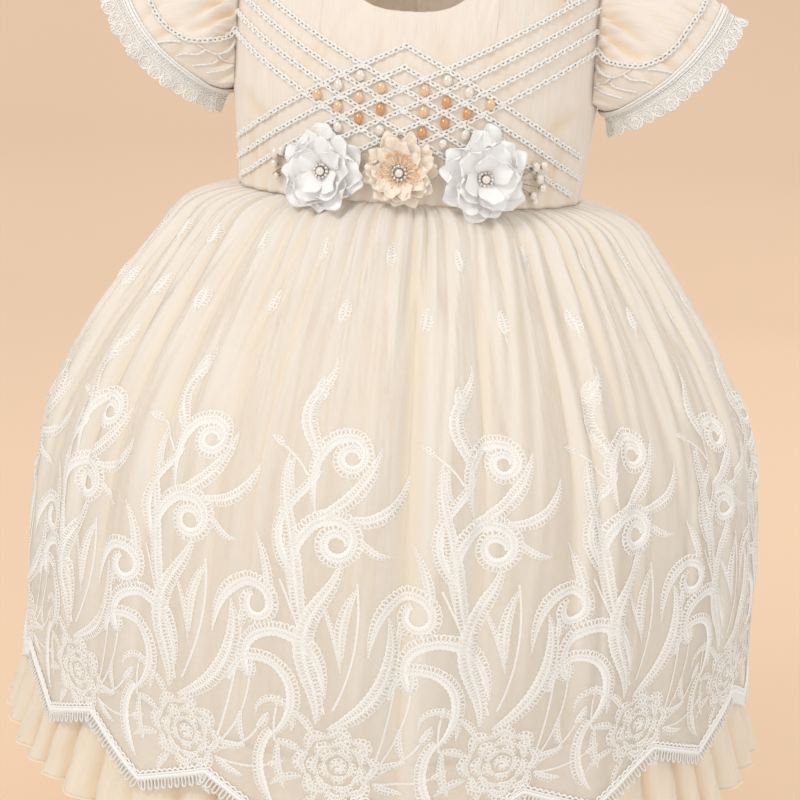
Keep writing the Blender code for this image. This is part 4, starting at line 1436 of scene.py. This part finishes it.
right_columns = half_panel(-1, BACK_NECK_DROP)[::-1] + right_lap
back_left = panel("bodice_back_left_cloth", left_columns, BACK_HOLLOWS, True)
back_right = panel("bodice_back_right_cloth", right_columns, BACK_HOLLOWS, True)
tuck = np.array([v.co.x for v in back_left.data.vertices])
pressed(back_left, -0.0017 * np.clip((0.022 - tuck) / 0.010, 0, 1))
panels = (
    (bodice_front, "bodice_front", (0.270, 0.190)),
    (back_left, "bodice_back_left", (0.145, 0.190)),
    (back_right, "bodice_back_right", (0.145, 0.190)),
)
for piece, node, flat in panels:
    if piece is not bodice_front:
        dress(thicken(piece, BODICE_THICK), "bodice_cloth", node)

# %% [markdown]
# ## Looped braid and pearls on the bodice
# The trim is a chain of crocheted loops couched along slanting lines that cross in a lattice under the
# neck. Each loop is a small ring of cotton cord, every second one tipped the other way, so the chain reads
# as plaited. Pearls fill the diamonds at the middle: white outside, peach and copper towards the centre.

# %% Lattice of looped braid: lines at one step down the middle, in millimetres, that steepen outwards
TOP_CROSSING = -73.0
BRAID_STEP = 11.2
BRAID_SLOPE = 0.48
BRAID_BEND = 0.0009
BRAID_SPANS = ((0, 99), (0, 100), (-103, 97), (-104, 60), (-106, 30), (-106, 10))
SHOULDER_LINE = [(-60, -12), (-72, -29), (-84, -46)]


def braid_line(row, span):
    """The line that crosses the middle in this row: it falls from left to right."""
    x = np.linspace(*span, 9)
    fall = BRAID_SLOPE * x + BRAID_BEND * x * np.abs(x)
    return np.column_stack([x, TOP_CROSSING - BRAID_STEP * row - fall])


BRAID_LINES = [braid_line(row, span) for row, span in enumerate(BRAID_SPANS)] + [SHOULDER_LINE]
LINK = {"length": 0.0036, "width": 0.0022, "wire": 0.00070}
LINK_PITCH = 0.0029
BRAID_LIFT = 0.0009


def on_front(points, side=1):
    """A line on the front, from millimetres across and up to its place on the flat pattern."""
    path = curved(points, 1.5) * MM
    lift = np.full(len(path), BRAID_LIFT)
    return np.column_stack([PATTERN_MIDDLE + side * path[:, 0], path[:, 1] + PATTERN_TOP, lift])


braid_lines = [(on_front(line, side), 0.0, 0.0) for line in BRAID_LINES for side in (1, -1)]
link = ring_part("braid_link", around=10, sides=5, **LINK)
values = {
    "Pitch": LINK_PITCH, "Lift": 0.0, "Tip": 0.42,
    "Cloth": bodice_front, "Part": link, "Material": braid_cotton,
}
braid = make_from(line_object("bodice_braid", braid_lines), parts_along_line, "bodice_braid", values)
bpy.data.objects.remove(link)
dress(braid, "white_lace")
dress(thicken(bodice_front, BODICE_THICK), "bodice_cloth", "bodice_front")

# %% Piles of small shapes, each pile one mesh
class Pile:
    """Small shapes gathered into one mesh, each point with its values."""

    def __init__(self):
        self.points = []
        self.faces = []
        self.values = {}

    def put(self, matrix, shape, **values):
        points, faces = shape
        start = len(self.points)
        self.points.extend((matrix @ Vector(p))[:] for p in points)
        self.faces.extend(tuple(start + i for i in face) for face in faces)
        for label, value in values.items():
            self.values.setdefault(label, []).extend(np.broadcast_to(value, len(points)).tolist())

    def make(self, name, material, solid=True):
        mesh = bpy.data.meshes.new(name)
        mesh.from_pydata(self.points, [], self.faces)
        if solid:
            work = bmesh.new()
            work.from_mesh(mesh)
            bmesh.ops.recalc_face_normals(work, faces=work.faces)
            work.to_mesh(mesh)
            work.free()
        mesh.materials.append(material)
        mesh.shade_smooth()
        made = linked(name, mesh)
        for label, numbers in self.values.items():
            note(made, label, numbers)
        return made


def turned(profile, around):
    """A shape turned round Z from (radius, height) pairs; a radius of 0 makes a pole."""
    points, faces, rings = [], [], []
    for radius, height in profile:
        ring = [len(points)] * around
        if radius == 0:
            points.append((0, 0, height))
        else:
            ring = list(range(len(points), len(points) + around))
            for i in range(around):
                turn = math.tau * i / around
                points.append((radius * math.cos(turn), radius * math.sin(turn), height))
        rings.append(ring)
    for one, two in zip(rings, rings[1:]):
        for i in range(around):
            j = (i + 1) % around
            face = tuple(dict.fromkeys((one[i], one[j], two[j], two[i])))
            if len(face) > 2:
                faces.append(face)
    return points, faces


def ball(around=14, rows=8):
    turns = np.linspace(0, math.pi, rows + 1)
    return turned([(0 if i in (0, rows) else math.sin(t), math.cos(t)) for i, t in enumerate(turns)], around)


def sized(x, y, z):
    return Matrix.Diagonal((x, y, z, 1.0))


BALL = ball()
SMALL_BALL = ball(8, 5)

# %% Pearls in the lattice's diamonds, each at a column from the middle and a half row down
CELL_WIDE = 11.6
WHITE_CELLS = ((-2, 3), (-3, 4), (-3, 8), (-1, 8), (2, 3), (3, 4), (3, 8), (2, 9))
LIGHT_CELLS = ((-4, 5), (-1, 4), (-2, 5), (-3, 6), (1, 4), (4, 5), (1, 6))
DARK_CELLS = ((-1, 6), (-2, 7), (2, 5), (3, 6), (2, 7), (1, 8))
PEARL_RADII = (0.0026, 0.0031, 0.0022)

pearls = Pile()
for group, tone in ((WHITE_CELLS, 0.0), (LIGHT_CELLS, 0.5), (DARK_CELLS, 1.0)):
    for column, half_row in group:
        x, z = column * CELL_WIDE, TOP_CROSSING - BRAID_STEP * half_row / 2
        seat = front_frame(x * MM, z * MM) @ Matrix.Translation((0, 0, 0.0014))
        pearls.put(seat @ sized(*PEARL_RADII), BALL, tone=tone)
bodice_pearls = dress(pearls.make("bodice_pearls", pearl_material), "flower_buttons")
print("pearls", len(bodice_pearls.data.polygons))

# %% The back placket: a row of topstitching on each side and four buttons
BUTTON_HEIGHTS = (-0.026, -0.061, -0.096, -0.131)
BUTTON_PROFILE = (
    (0, 0.0019), (0.0016, 0.0017), (0.0026, 0.0020), (0.0034, 0.0026), (0.0042, 0.0024),
    (0.0048, 0.0015), (0.0047, 0.0007), (0.0040, 0.0002), (0, 0.0),
)


def back_frame(x, z):
    """Matrix whose Z points out of the back at (x, z)."""
    return Matrix.Rotation(math.pi, 4, "Z") @ front_frame(-x, z)


buttons = Pile()
holes = Pile()
for z in BUTTON_HEIGHTS:
    seat = back_frame(0.0, z)
    buttons.put(seat @ Matrix.Translation((0, 0, 0.0003)), turned(BUTTON_PROFILE, 28), tone=0.0)
    for i in range(4):
        turn = math.tau * (i + 0.5) / 4
        spot = Matrix.Translation((0.0011 * math.cos(turn), 0.0011 * math.sin(turn), 0.0020))
        # Painted shade: the thread in the buttonholes is darkened as if in shadow.
        holes.put(seat @ spot @ sized(0.00035, 0.00035, 0.0003), SMALL_BALL, dip_shade=1.0)
for x in (-0.0055, 0.0055):
    for z in np.arange(-0.153, -0.020, 0.0028):
        stitch = back_frame(x, z) @ Matrix.Translation((0, 0, 0.0003)) @ sized(0.0003, 0.0009, 0.0003)
        # Painted shade: the placket stitches are darkened a little, as if sunk into the cloth.
        holes.put(stitch, SMALL_BALL, dip_shade=0.4)
back_nodes = [f"back_button_{i}" for i in range(1, 5)]
dress(buttons.make("back_buttons", pearl_material), "back_buttons", *back_nodes)
dress(holes.make("placket_stitches", stitch_sheer), "bodice_cloth")

# %% [markdown]
# ## Sleeves
# Short puffed sleeves are gathered into the armhole and open like a bell over the arm. Folds run from the
# gathers towards the hem and fade. A flat band with two raised cords covers the hem seam, and below it hangs
# crocheted lace with a scalloped edge. The lace is drawn flat as cords and rings and laid on a guide
# sheet that carries the sleeve on past its hem.

# %% The sleeve's form, on past its hem for the lace
SLEEVE_TIP = (0.172, -0.0465)
SLEEVE_UNDERARM = (0.1085, -0.1070)
SLEEVE_HALF_DEPTH = 0.034
SLEEVE_DROOP = (0.009, 0.014)
SLEEVE_PUFF = 0.13
ARMHOLE_ROOM = 0.0001
SLEEVE_AROUND = 216
SLEEVE_ROWS = 36
LACE_SCALLOPS = 36
SCALLOP_WIDTH = 0.007
SLEEVE_GIRTH = LACE_SCALLOPS * SCALLOP_WIDTH
LACE_DEEP = 0.0125
LACE_ROWS = 8
HEM_UP = 0.1
SLEEVE_HOLLOWS = (
    (38, 66, 52, 33, 2.7, 2.8), (44, 63, 56, 36, 2.2, -1.5), (50, 57, 61, 27, 2.6, 2.6),
    (55, 54, 64, 34, 1.8, -1.3), (60, 51, 69, 33, 2.1, 2.2), (67, 46, 76, 30, 2.3, 2.3),
    (72, 42, 80, 26, 1.7, -1.0), (76, 37, 84, 20, 2.0, 1.6), (30, 52, 41, 27, 4.2, 1.9),
    (22, 72, 29, 36, 3.2, 2.4), (10, 74, 13, 32, 4.0, 2.2), (16, 72, 21, 44, 2.4, -1.2),
    (42, 21, 47, 3, 2.4, 1.2), (56, 20, 60, 3, 2.2, 1.3), (68, 20, 72, 4, 2.2, 1.2),
    (28, 26, 26, 4, 2.6, 1.2), (90, 22, 96, 8, 2.2, 1.1), (14, 30, 12, 5, 2.6, 1.1),
)


def armhole_loop(side, count):
    x = side * SHOULDER_X
    half = [upper_point(x, math.pi / 2 * (1 - i / 40)) for i in range(40)]
    half += [underarm_column(side, i / 24)[-1] for i in range(25)]
    loop = half + [Vector((p.x, -p.y, p.z)) for p in reversed(half[1:-1])]
    loop = np.array([p[:] for p in loop + [loop[0]]])
    along = np.concatenate([[0], np.cumsum(np.linalg.norm(np.diff(loop, axis=0), axis=1))])
    even = np.linspace(0, along[-1], count + 1)
    return np.stack([np.interp(even, along, loop[:, k]) for k in range(3)], axis=-1)


def unit(v):
    return v / np.linalg.norm(v, axis=-1, keepdims=True)


def sleeve_grid(side, seed):
    """Points of a sleeve from armhole to hem and on to the lace's edge, and their flat places."""
    start = armhole_loop(side, SLEEVE_AROUND)
    turn = np.linspace(0, math.tau, SLEEVE_AROUND + 1)
    up = np.maximum(0, (start[:, 2] - CHEST_Z) / (-SHOULDER_DROP - CHEST_Z)) ** 2
    out = np.stack([
        side * (np.abs(start[:, 0]) / CHEST_HALF[0]) ** (SECTION_POWER - 1) / CHEST_HALF[0],
        np.sign(start[:, 1]) * (np.abs(start[:, 1]) / CHEST_HALF[1]) ** (SECTION_POWER - 1) / CHEST_HALF[1],
        up * 0.01,
    ], axis=-1)
    seam = start + unit(out) * ARMHOLE_ROOM
    tip = np.array([side * SLEEVE_TIP[0], 0, SLEEVE_TIP[1]])
    under = np.array([side * SLEEVE_UNDERARM[0], 0, SLEEVE_UNDERARM[1]])
    span = np.subtract(SLEEVE_TIP, SLEEVE_UNDERARM)
    axis = unit(np.array([side * span[1], 0, -span[0]]))
    droop = np.where(np.sin(turn) > 0, SLEEVE_DROOP[0], SLEEVE_DROOP[1]) * np.sin(turn) ** 2
    hem = (tip + under) / 2 + (tip - under) / 2 * np.cos(turn)[:, None] + axis * droop[:, None]
    hem[:, 1] = -SLEEVE_HALF_DEPTH * np.sin(turn)
    reach = np.linalg.norm(hem - seam, axis=1)
    sideways = np.full_like(turn, side * 0.25)
    away = unit(np.stack([sideways, -np.sin(turn), 0.35 + 0.65 * np.cos(turn)], axis=-1))
    fine = np.abs(np.sin(19 * turn + 2.5 * uneven_wave(turn, (5, 8, 13), seed))) * 1.6 - 1.0
    wide = uneven_wave(turn, (6, 9, 13), seed + 1)
    back_hollows = [(SLEEVE_GIRTH / MM - a + 4, b, SLEEVE_GIRTH / MM - c, d, w, e * 0.9)
                    for a, b, c, d, w, e in SLEEVE_HOLLOWS]
    hollows = (*SLEEVE_HOLLOWS, *back_hollows)
    around = turn / math.tau * SLEEVE_GIRTH
    rows, flats = [], []
    for share in np.linspace(0, 1, SLEEVE_ROWS + 1):
        bulge = SLEEVE_PUFF * 4 * share * (1 - share)
        pleats = 0.030 * fine * math.exp(-((share - 0.10) / 0.16) ** 2) * min(1, share / 0.06)
        folds = 0.040 * wide * math.sin(math.pi * share**0.8) ** 1.3
        flat = np.stack([around, HEM_UP + reach * (1 - share)], axis=-1)
        hollow = troughs(around, flat[:, 1] - HEM_UP, hollows) * min(1.4, share / 0.04)
        rows.append(seam + (hem - seam) * share + away * (reach * (bulge + pleats + folds) + hollow)[:, None])
        flats.append(flat)
    sunk = hollowness(np.array(rows), away, 5, 0.0013)
    down = unit(rows[-1] - rows[-6])
    over = (0.5 + 0.5 * np.cos(turn))[:, None]
    down = unit(axis * (1 - over / 2) + down * over / 2)
    along = unit(np.roll(hem[:-1], -1, axis=0) - np.roll(hem[:-1], 1, axis=0))
    along = np.concatenate([along, along[:1]])
    outward = unit(np.cross(along, down)) * side
    flute = 0.0030 * uneven_wave(turn, (15, 19, 24), seed + 2)
    for i in range(1, LACE_ROWS + 1):
        share = i / LACE_ROWS
        flare = 0.30 * LACE_DEEP * share + flute * share**1.3
        rows.append(hem + down * LACE_DEEP * share + outward * flare[:, None])
        flats.append(np.stack([around, np.full_like(turn, HEM_UP - LACE_DEEP * share)], axis=-1))
    return np.array(rows), np.array(flats), sunk


# %% One scallop of the lace, drawn flat in millimetres: across 0 to 7, down from the hem
def arc(x, y, radius_x, radius_y, first, last, count=9):
    turns = np.radians(np.linspace(first, last, count))
    return [(x + radius_x * math.cos(t), y + radius_y * math.sin(t)) for t in turns]


def lace_scallop():
    lines = [
        drawn([(0, -0.7), (3.5, -0.7), (7, -0.7)], 0.55, "even", step=0.9),
        drawn([(0, -3.6), (3.5, -3.6), (7, -3.6)], 0.45, "even", step=0.9),
        drawn(arc(3.5, -8.0, 3.3, 4.0, 170, 370, 13), 0.62, "even", step=0.8),
        drawn(arc(3.5, -8.2, 2.0, 2.2, 190, 350, 9), 0.38, "even", step=0.8),
    ]
    for x in (0.0, 1.75, 3.5, 5.25):
        lines.append(drawn([(x, -0.9), (x + 0.25, -2.2), (x, -3.4)], 0.32, "even", step=0.9))
    for angle in (205, 232, 270, 308, 335):
        turn = math.radians(angle)
        far = (3.5 + 3.1 * math.cos(turn), -8.0 + 3.8 * math.sin(turn))
        lines.append(drawn([(3.5 + 0.5 * math.cos(turn), -5.2), far], 0.36, "even", step=1.0))
    lines.append(drawn([(0, -7.4), (1.0, -5.4), (3.5, -4.6), (6.0, -5.4), (7, -7.4)], 0.42, "even", step=0.9))
    return lines


def hem_lines(heights, half_width):
    x = np.linspace(0, SLEEVE_GIRTH, 240)
    lines = []
    for height in heights:
        line = np.column_stack([x, np.full(240, HEM_UP + height), np.full(240, 0.0010)])
        lines.append((line, half_width, 0.0))
    return lines


SLEEVE_ARC = ([(64, 47), (69, 35.4), (66, 21.4), (52.5, 15.2), (39, 14.8), (22.5, 13.6), (6, 14)],)
SLEEVE_ROWS_OF_CORD = (
    [(73, 39), (76, 34), (77, 27), (74, 25), (69.5, 24)], [(73, 25), (74.5, 19), (72.5, 13), (72, 8)],
    [(84, 28), (81, 26), (77.5, 27)], [(86, 27), (87.5, 20), (87, 12)], [(80, 24), (82, 19), (80, 10)],
    [(66, 17), (64, 12), (62, 5)],
)


def sleeve_lines(drawings, half_width):
    """Lines on the puff, drawn for the front and mirrored for the back."""
    lines = []
    for points in drawings:
        path = curved(points, 1.2) * MM
        for x in (path[:, 0], SLEEVE_GIRTH - path[:, 0]):
            line = np.column_stack([x, HEM_UP + path[:, 1], np.full(len(path), BRAID_LIFT)])
            lines.append((line, half_width, 3.0))
    return lines


def make_sleeve(label, side, seed):
    points, flats, sunk = sleeve_grid(side, seed)
    guide = sheet_mesh(f"guide_{label}", points, flats, sleeve_cloth, flip=side > 0)
    stop = SLEEVE_ROWS + 1
    cloth = sheet_mesh(f"sleeve_{label}_cloth", points[:stop], flats[:stop], sleeve_cloth, flip=side > 0)
    # The hollow attribute marks the sleeve's folds, for the finish's painted shade.
    note(cloth, "hollow", sunk)
    cloth_area = area_of(cloth)
    dress(thicken(weld(cloth), 0.0009), "sleeve_cloth", f"sleeve_{label}")
    cloth_area * 1.2
    band_points, band_flats = points[SLEEVE_ROWS:-1], flats[SLEEVE_ROWS:-1]
    ground = sheet_mesh(f"lace_ground_{label}", band_points, band_flats, lace_net, side > 0)
    dress(weld(ground), "white_lace")
    values = {
        "Stitch Pitch": 0.0010, "Stitch Swell": 0.12, "Height Share": 0.8, "Sides": 4,
        "Repeats": LACE_SCALLOPS, "Repeat Step": SCALLOP_WIDTH,
        "Cloth": guide, "Girth": SLEEVE_GIRTH, "Material": lace_cotton,
    }
    lace = line_object("lace", flat_lines(lace_scallop(), 0.0, HEM_UP))
    lace = make_from(lace, cord_stitch, f"sleeve_scallops_{label}", values)
    dress(lace, "white_lace", f"sleeve_lace_{label}")
    values.update({"Repeats": 1, "Stitch Pitch": 0.0012, "Sides": 5, "Stitch Swell": 0.16})
    cords = hem_lines((0.0006, 0.0042), 0.0008) + hem_lines((0.0024,), 0.0012)
    band = make_from(line_object("band", cords), cord_stitch, f"sleeve_hem_cords_{label}", values)
    dress(band, "white_lace", f"sleeve_band_{label}")
    values.update({"Stitch Pitch": 0.0014, "Stitch Swell": 0.30})
    rows = line_object("rows", sleeve_lines(SLEEVE_ROWS_OF_CORD, 0.0006))
    dress(make_from(rows, cord_stitch, f"sleeve_cords_{label}", values), "white_lace")
    links = ring_part("link", around=10, sides=4, **LINK)
    values = {
        "Pitch": LINK_PITCH, "Lift": 0.0, "Tip": 0.30, "Cloth": guide, "Part": links,
        "Girth": SLEEVE_GIRTH, "Material": braid_cotton,
    }
    arc_line = line_object("arc", sleeve_lines(SLEEVE_ARC, 0.0))
    dress(make_from(arc_line, parts_along_line, f"sleeve_braid_{label}", values), "white_lace")
    bpy.data.objects.remove(links)
    bpy.data.objects.remove(guide)


lace_net = Finish("lace_ground", LACE_WHITE, 0.85)
lace_net.set("Alpha", 0.42 + 0.2 * lace_net.noise(lace_net.uv(), 1500.0, 1.0))
lace_net = lace_net.material
make_sleeve("left", 1, 31)
make_sleeve("right", -1, 47)

# %% [markdown]
# ## Flowers at the waist
# Three cloth flowers are sewn on above the waist seam: two white ones of broad thin petals and a peach one
# between them, with lacy loops near its heart. Each is built of rings of separate petals, cupped and
# ruffled, and ends in a jewelled button. Sprays of pearls on wire peep out at the two ends.

# %% A petal and a ring of petals
PETAL_ROWS = 9
PETAL_COLUMNS = 14


def petal(length, width, cup, tip_lift, ruffle, point, chance):
    """A petal along +X from the flower's heart: a grid of points and how far out each is."""
    s = np.linspace(0, 1, PETAL_ROWS + 1)[:, None]
    c = np.linspace(-1, 1, PETAL_COLUMNS + 1)[None, :]
    breadth = width * np.sin(math.pi * (0.10 + 0.60 * s**0.9)) ** 0.85
    edge = 1 - 0.34 * np.abs(c) ** 2.6 * s**2 - point * np.abs(c) * s**2
    edge = edge + 0.03 * s**3 * np.cos(c * 6 + chance.uniform(0, 6))
    x = 0.0022 + length * s * edge
    y = breadth * c * (1 - 0.10 * s**4)
    wave = np.sin(c * chance.uniform(4.5, 6.5) + chance.uniform(0, 6)) * s**2
    z = tip_lift * s**1.4 + cup * (c**2) * s + ruffle * wave + 0.0006 * np.cos(c * 3) * (1 - s)
    points = np.stack([x, y, z + 0 * x], axis=-1).reshape(-1, 3)
    faces = grid_faces(PETAL_ROWS + 1, PETAL_COLUMNS + 1)
    reach = np.broadcast_to(s, (PETAL_ROWS + 1, PETAL_COLUMNS + 1)).reshape(-1)
    return (points.tolist(), faces.tolist()), reach


def petal_ring(pile, place, count, phase, length, width, cup, tip_lift, ruffle, point, level, chance):
    for i in range(count):
        turn = phase + math.tau * i / count + chance.uniform(-0.16, 0.16)
        low = max(0.0, -math.sin(turn))
        long = length * (1 + 0.08 * math.sin(turn)) * chance.uniform(0.86, 1.06)
        lift = tip_lift * chance.uniform(0.8, 1.2) + 0.0035 * low
        shape, reach = petal(long, width * chance.uniform(0.92, 1.06), cup, lift, ruffle, point, chance)
        spin = Matrix.Rotation(turn, 4, "Z") @ Matrix.Rotation(chance.uniform(-0.16, 0.16), 4, "X")
        pile.put(place @ Matrix.Translation((0, 0, level + 0.0004 * (i % 2))) @ spin, shape, reach=reach)


# Each ring: petals, first turn, length, width, cup, lift of the tip, ruffle, point
FLOWERS = {
    "right": ((-0.0420, -0.1415), white_petal, 0.0044, (
        (6, 0.62, 0.0240, 0.0112, 0.0010, 0.0030, 0.0013, 0.06),
        (6, 1.10, 0.0212, 0.0104, 0.0012, 0.0046, 0.0014, 0.05),
        (5, 0.20, 0.0165, 0.0090, 0.0014, 0.0062, 0.0012, 0.03),
        (4, 0.90, 0.0110, 0.0064, 0.0016, 0.0068, 0.0008, 0.02))),
    "middle": ((0.0007, -0.1395), peach_petal, 0.0046, (
        (10, 0.20, 0.0182, 0.0066, 0.0008, 0.0026, 0.0008, 0.0),
        (10, 0.50, 0.0164, 0.0062, 0.0010, 0.0040, 0.0009, 0.0),
        (9, 0.20, 0.0130, 0.0050, 0.0010, 0.0050, 0.0007, 0.0))),
    "left": ((0.0466, -0.1405), white_petal, 0.0044, (
        (6, 1.45, 0.0252, 0.0116, 0.0010, 0.0030, 0.0013, 0.07),
        (6, 0.85, 0.0222, 0.0108, 0.0012, 0.0046, 0.0015, 0.06),
        (5, 1.25, 0.0170, 0.0092, 0.0014, 0.0064, 0.0012, 0.03),
        (4, 0.30, 0.0115, 0.0066, 0.0016, 0.0070, 0.0008, 0.02))),
}


def flat_ring(length, width, wire, start, around=12, sides=4):
    """A loop of thread lying flat, its near end at start on the X axis."""
    points, faces = [], []
    for i in range(around):
        turn = math.tau * i / around
        for k in range(sides):
            ring = math.tau * k / sides
            x = start + length / 2 + (length / 2 + wire * math.cos(ring)) * math.cos(turn)
            points.append((x, (width / 2 + wire * math.cos(ring)) * math.sin(turn), wire * math.sin(ring)))
            faces.append((i * sides + k, (i + 1) % around * sides + k,
                          (i + 1) % around * sides + (k + 1) % sides, i * sides + (k + 1) % sides))
    return points, faces


STAMEN = flat_ring(0.0064, 0.0026, 0.00036, 0.0044)
RIM_PROFILE = (
    (0, 0.0000), (0.0046, 0.0000), (0.0050, 0.0007), (0.0046, 0.0015), (0.0036, 0.0017),
    (0.0028, 0.0013), (0.0, 0.0012),
)
silver_parts, stone_parts, pearl_parts, stamens = Pile(), Pile(), Pile(), Pile()
for number, (name, (spot, material, radius, rings)) in enumerate(FLOWERS.items()):
    chance = np.random.default_rng(60 + number)
    place = front_frame(*spot, level=True) @ Matrix.Translation((0, 0, 0.0008))
    blossom = Pile()
    for level, ring in enumerate(rings):
        petal_ring(blossom, place, *ring, 0.0006 + 0.0013 * level, chance)
    blossom = thicken(blossom.make(f"flower_{name}_petals", material, solid=False), 0.0003)
    slot = "peach_petals" if name == "middle" else "white_petals"
    dress(blossom, slot, f"flower_{name}_outer", f"flower_{name}_inner")
    seat = place @ Matrix.Translation((0, 0, 0.0052))
    silver_parts.put(seat @ sized(radius / 0.005, radius / 0.005, 1.0), turned(RIM_PROFILE, 32))
    for i in range(11):
        turn = math.tau * i / 11
        stone = Matrix.Translation((radius * 0.80 * math.cos(turn), radius * 0.80 * math.sin(turn), 0.0018))
        stone_parts.put(seat @ stone @ sized(0.0009, 0.0009, 0.0009), SMALL_BALL)
    pearl_parts.put(seat @ Matrix.Translation((0, 0, 0.0024)) @ sized(0.0023, 0.0023, 0.0020), BALL, tone=0.0)
    for i in range(14 if name == "middle" else 0):
        turn = Matrix.Rotation(math.tau * (i + chance.uniform(-0.2, 0.2)) / 14, 4, "Z")
        lean = Matrix.Rotation(-chance.uniform(0.05, 0.35), 4, "Y")
        far = chance.uniform(0.92, 1.12)
        stamens.put(seat @ turn @ lean @ sized(far, 1.0, 1.0), STAMEN, reach=0.50)
        for x, y in ((0.0102, 0.0), (0.0093, 0.0012), (0.0091, -0.0012)):
            dot = Matrix.Translation((x * far, y, 0.0)) @ sized(0.00075, 0.00065, 0.00050)
            stamens.put(seat @ turn @ lean @ dot, SMALL_BALL, reach=0.0)

# %% Sprays of pearls and a silver bar at the ends of the row
LEFT_SPRAY = (
    (-0.0705, -0.1345, 0.0027), (-0.0665, -0.1330, 0.0024), (-0.0712, -0.1405, 0.0023),
    (-0.0700, -0.1470, 0.0020),
)
RIGHT_SPRAY = (
    (0.0735, -0.1335, 0.0024), (0.0778, -0.1328, 0.0022), (0.0765, -0.1400, 0.0025),
    (0.0788, -0.1452, 0.0023), (0.0742, -0.1492, 0.0022), (0.0757, -0.1525, 0.0021),
)


def rod(start, end, radius):
    """Matrix that turns a unit ball into a thin rod between two points."""
    along = end - start
    turn = along.to_track_quat("Z", "Y").to_matrix().to_4x4()
    return Matrix.Translation((start + end) / 2) @ turn @ sized(radius, radius, along.length / 2)


for spray, heart in ((LEFT_SPRAY, (-0.055, -0.1415)), (RIGHT_SPRAY, (0.0615, -0.1415))):
    foot = front_frame(*heart) @ Vector((0, 0, 0.0020))
    for x, z, radius in spray:
        seat = front_frame(x, z) @ Matrix.Translation((0, 0, 0.0032))
        spot = seat @ Vector((0, 0, 0))
        pearl_parts.put(Matrix.Translation(spot) @ sized(radius, radius, radius * 1.15), BALL, tone=0.0)
        toward = (foot - spot).normalized()
        cap = Matrix.Translation(spot + toward * radius * 0.85) @ sized(0.0011, 0.0011, 0.0011)
        silver_parts.put(cap, SMALL_BALL)
        silver_parts.put(rod(foot, spot + toward * radius, 0.0003), SMALL_BALL)
bar = [front_frame(x, z) @ Vector((0, 0, 0.0034)) for x, z in ((-0.0640, -0.1415), (-0.0725, -0.1465))]
silver_parts.put(rod(*bar, 0.0010), BALL)
flower_buttons = [f"flower_{name}_button" for name in FLOWERS]
dress(silver_parts.make("flower_settings", silver_material), "flower_buttons", *flower_buttons)
dress(stone_parts.make("flower_stones", stone_material), "flower_buttons")
dress(stamens.make("peach_stamens", stamen_thread), "peach_petals")
dress(pearl_parts.make("flower_pearls", pearl_material), "flower_buttons")

# %% Triangles of every piece
total = 0
others = {*frame["nodes"], "studio_paper"}
for thing in scene.objects:
    if thing.type == "MESH" and thing.name.split(".")[0] not in others:
        count = triangles(thing)
        total += count
        if count > 20000:
            print(thing.name, count)
print("triangles added", total)
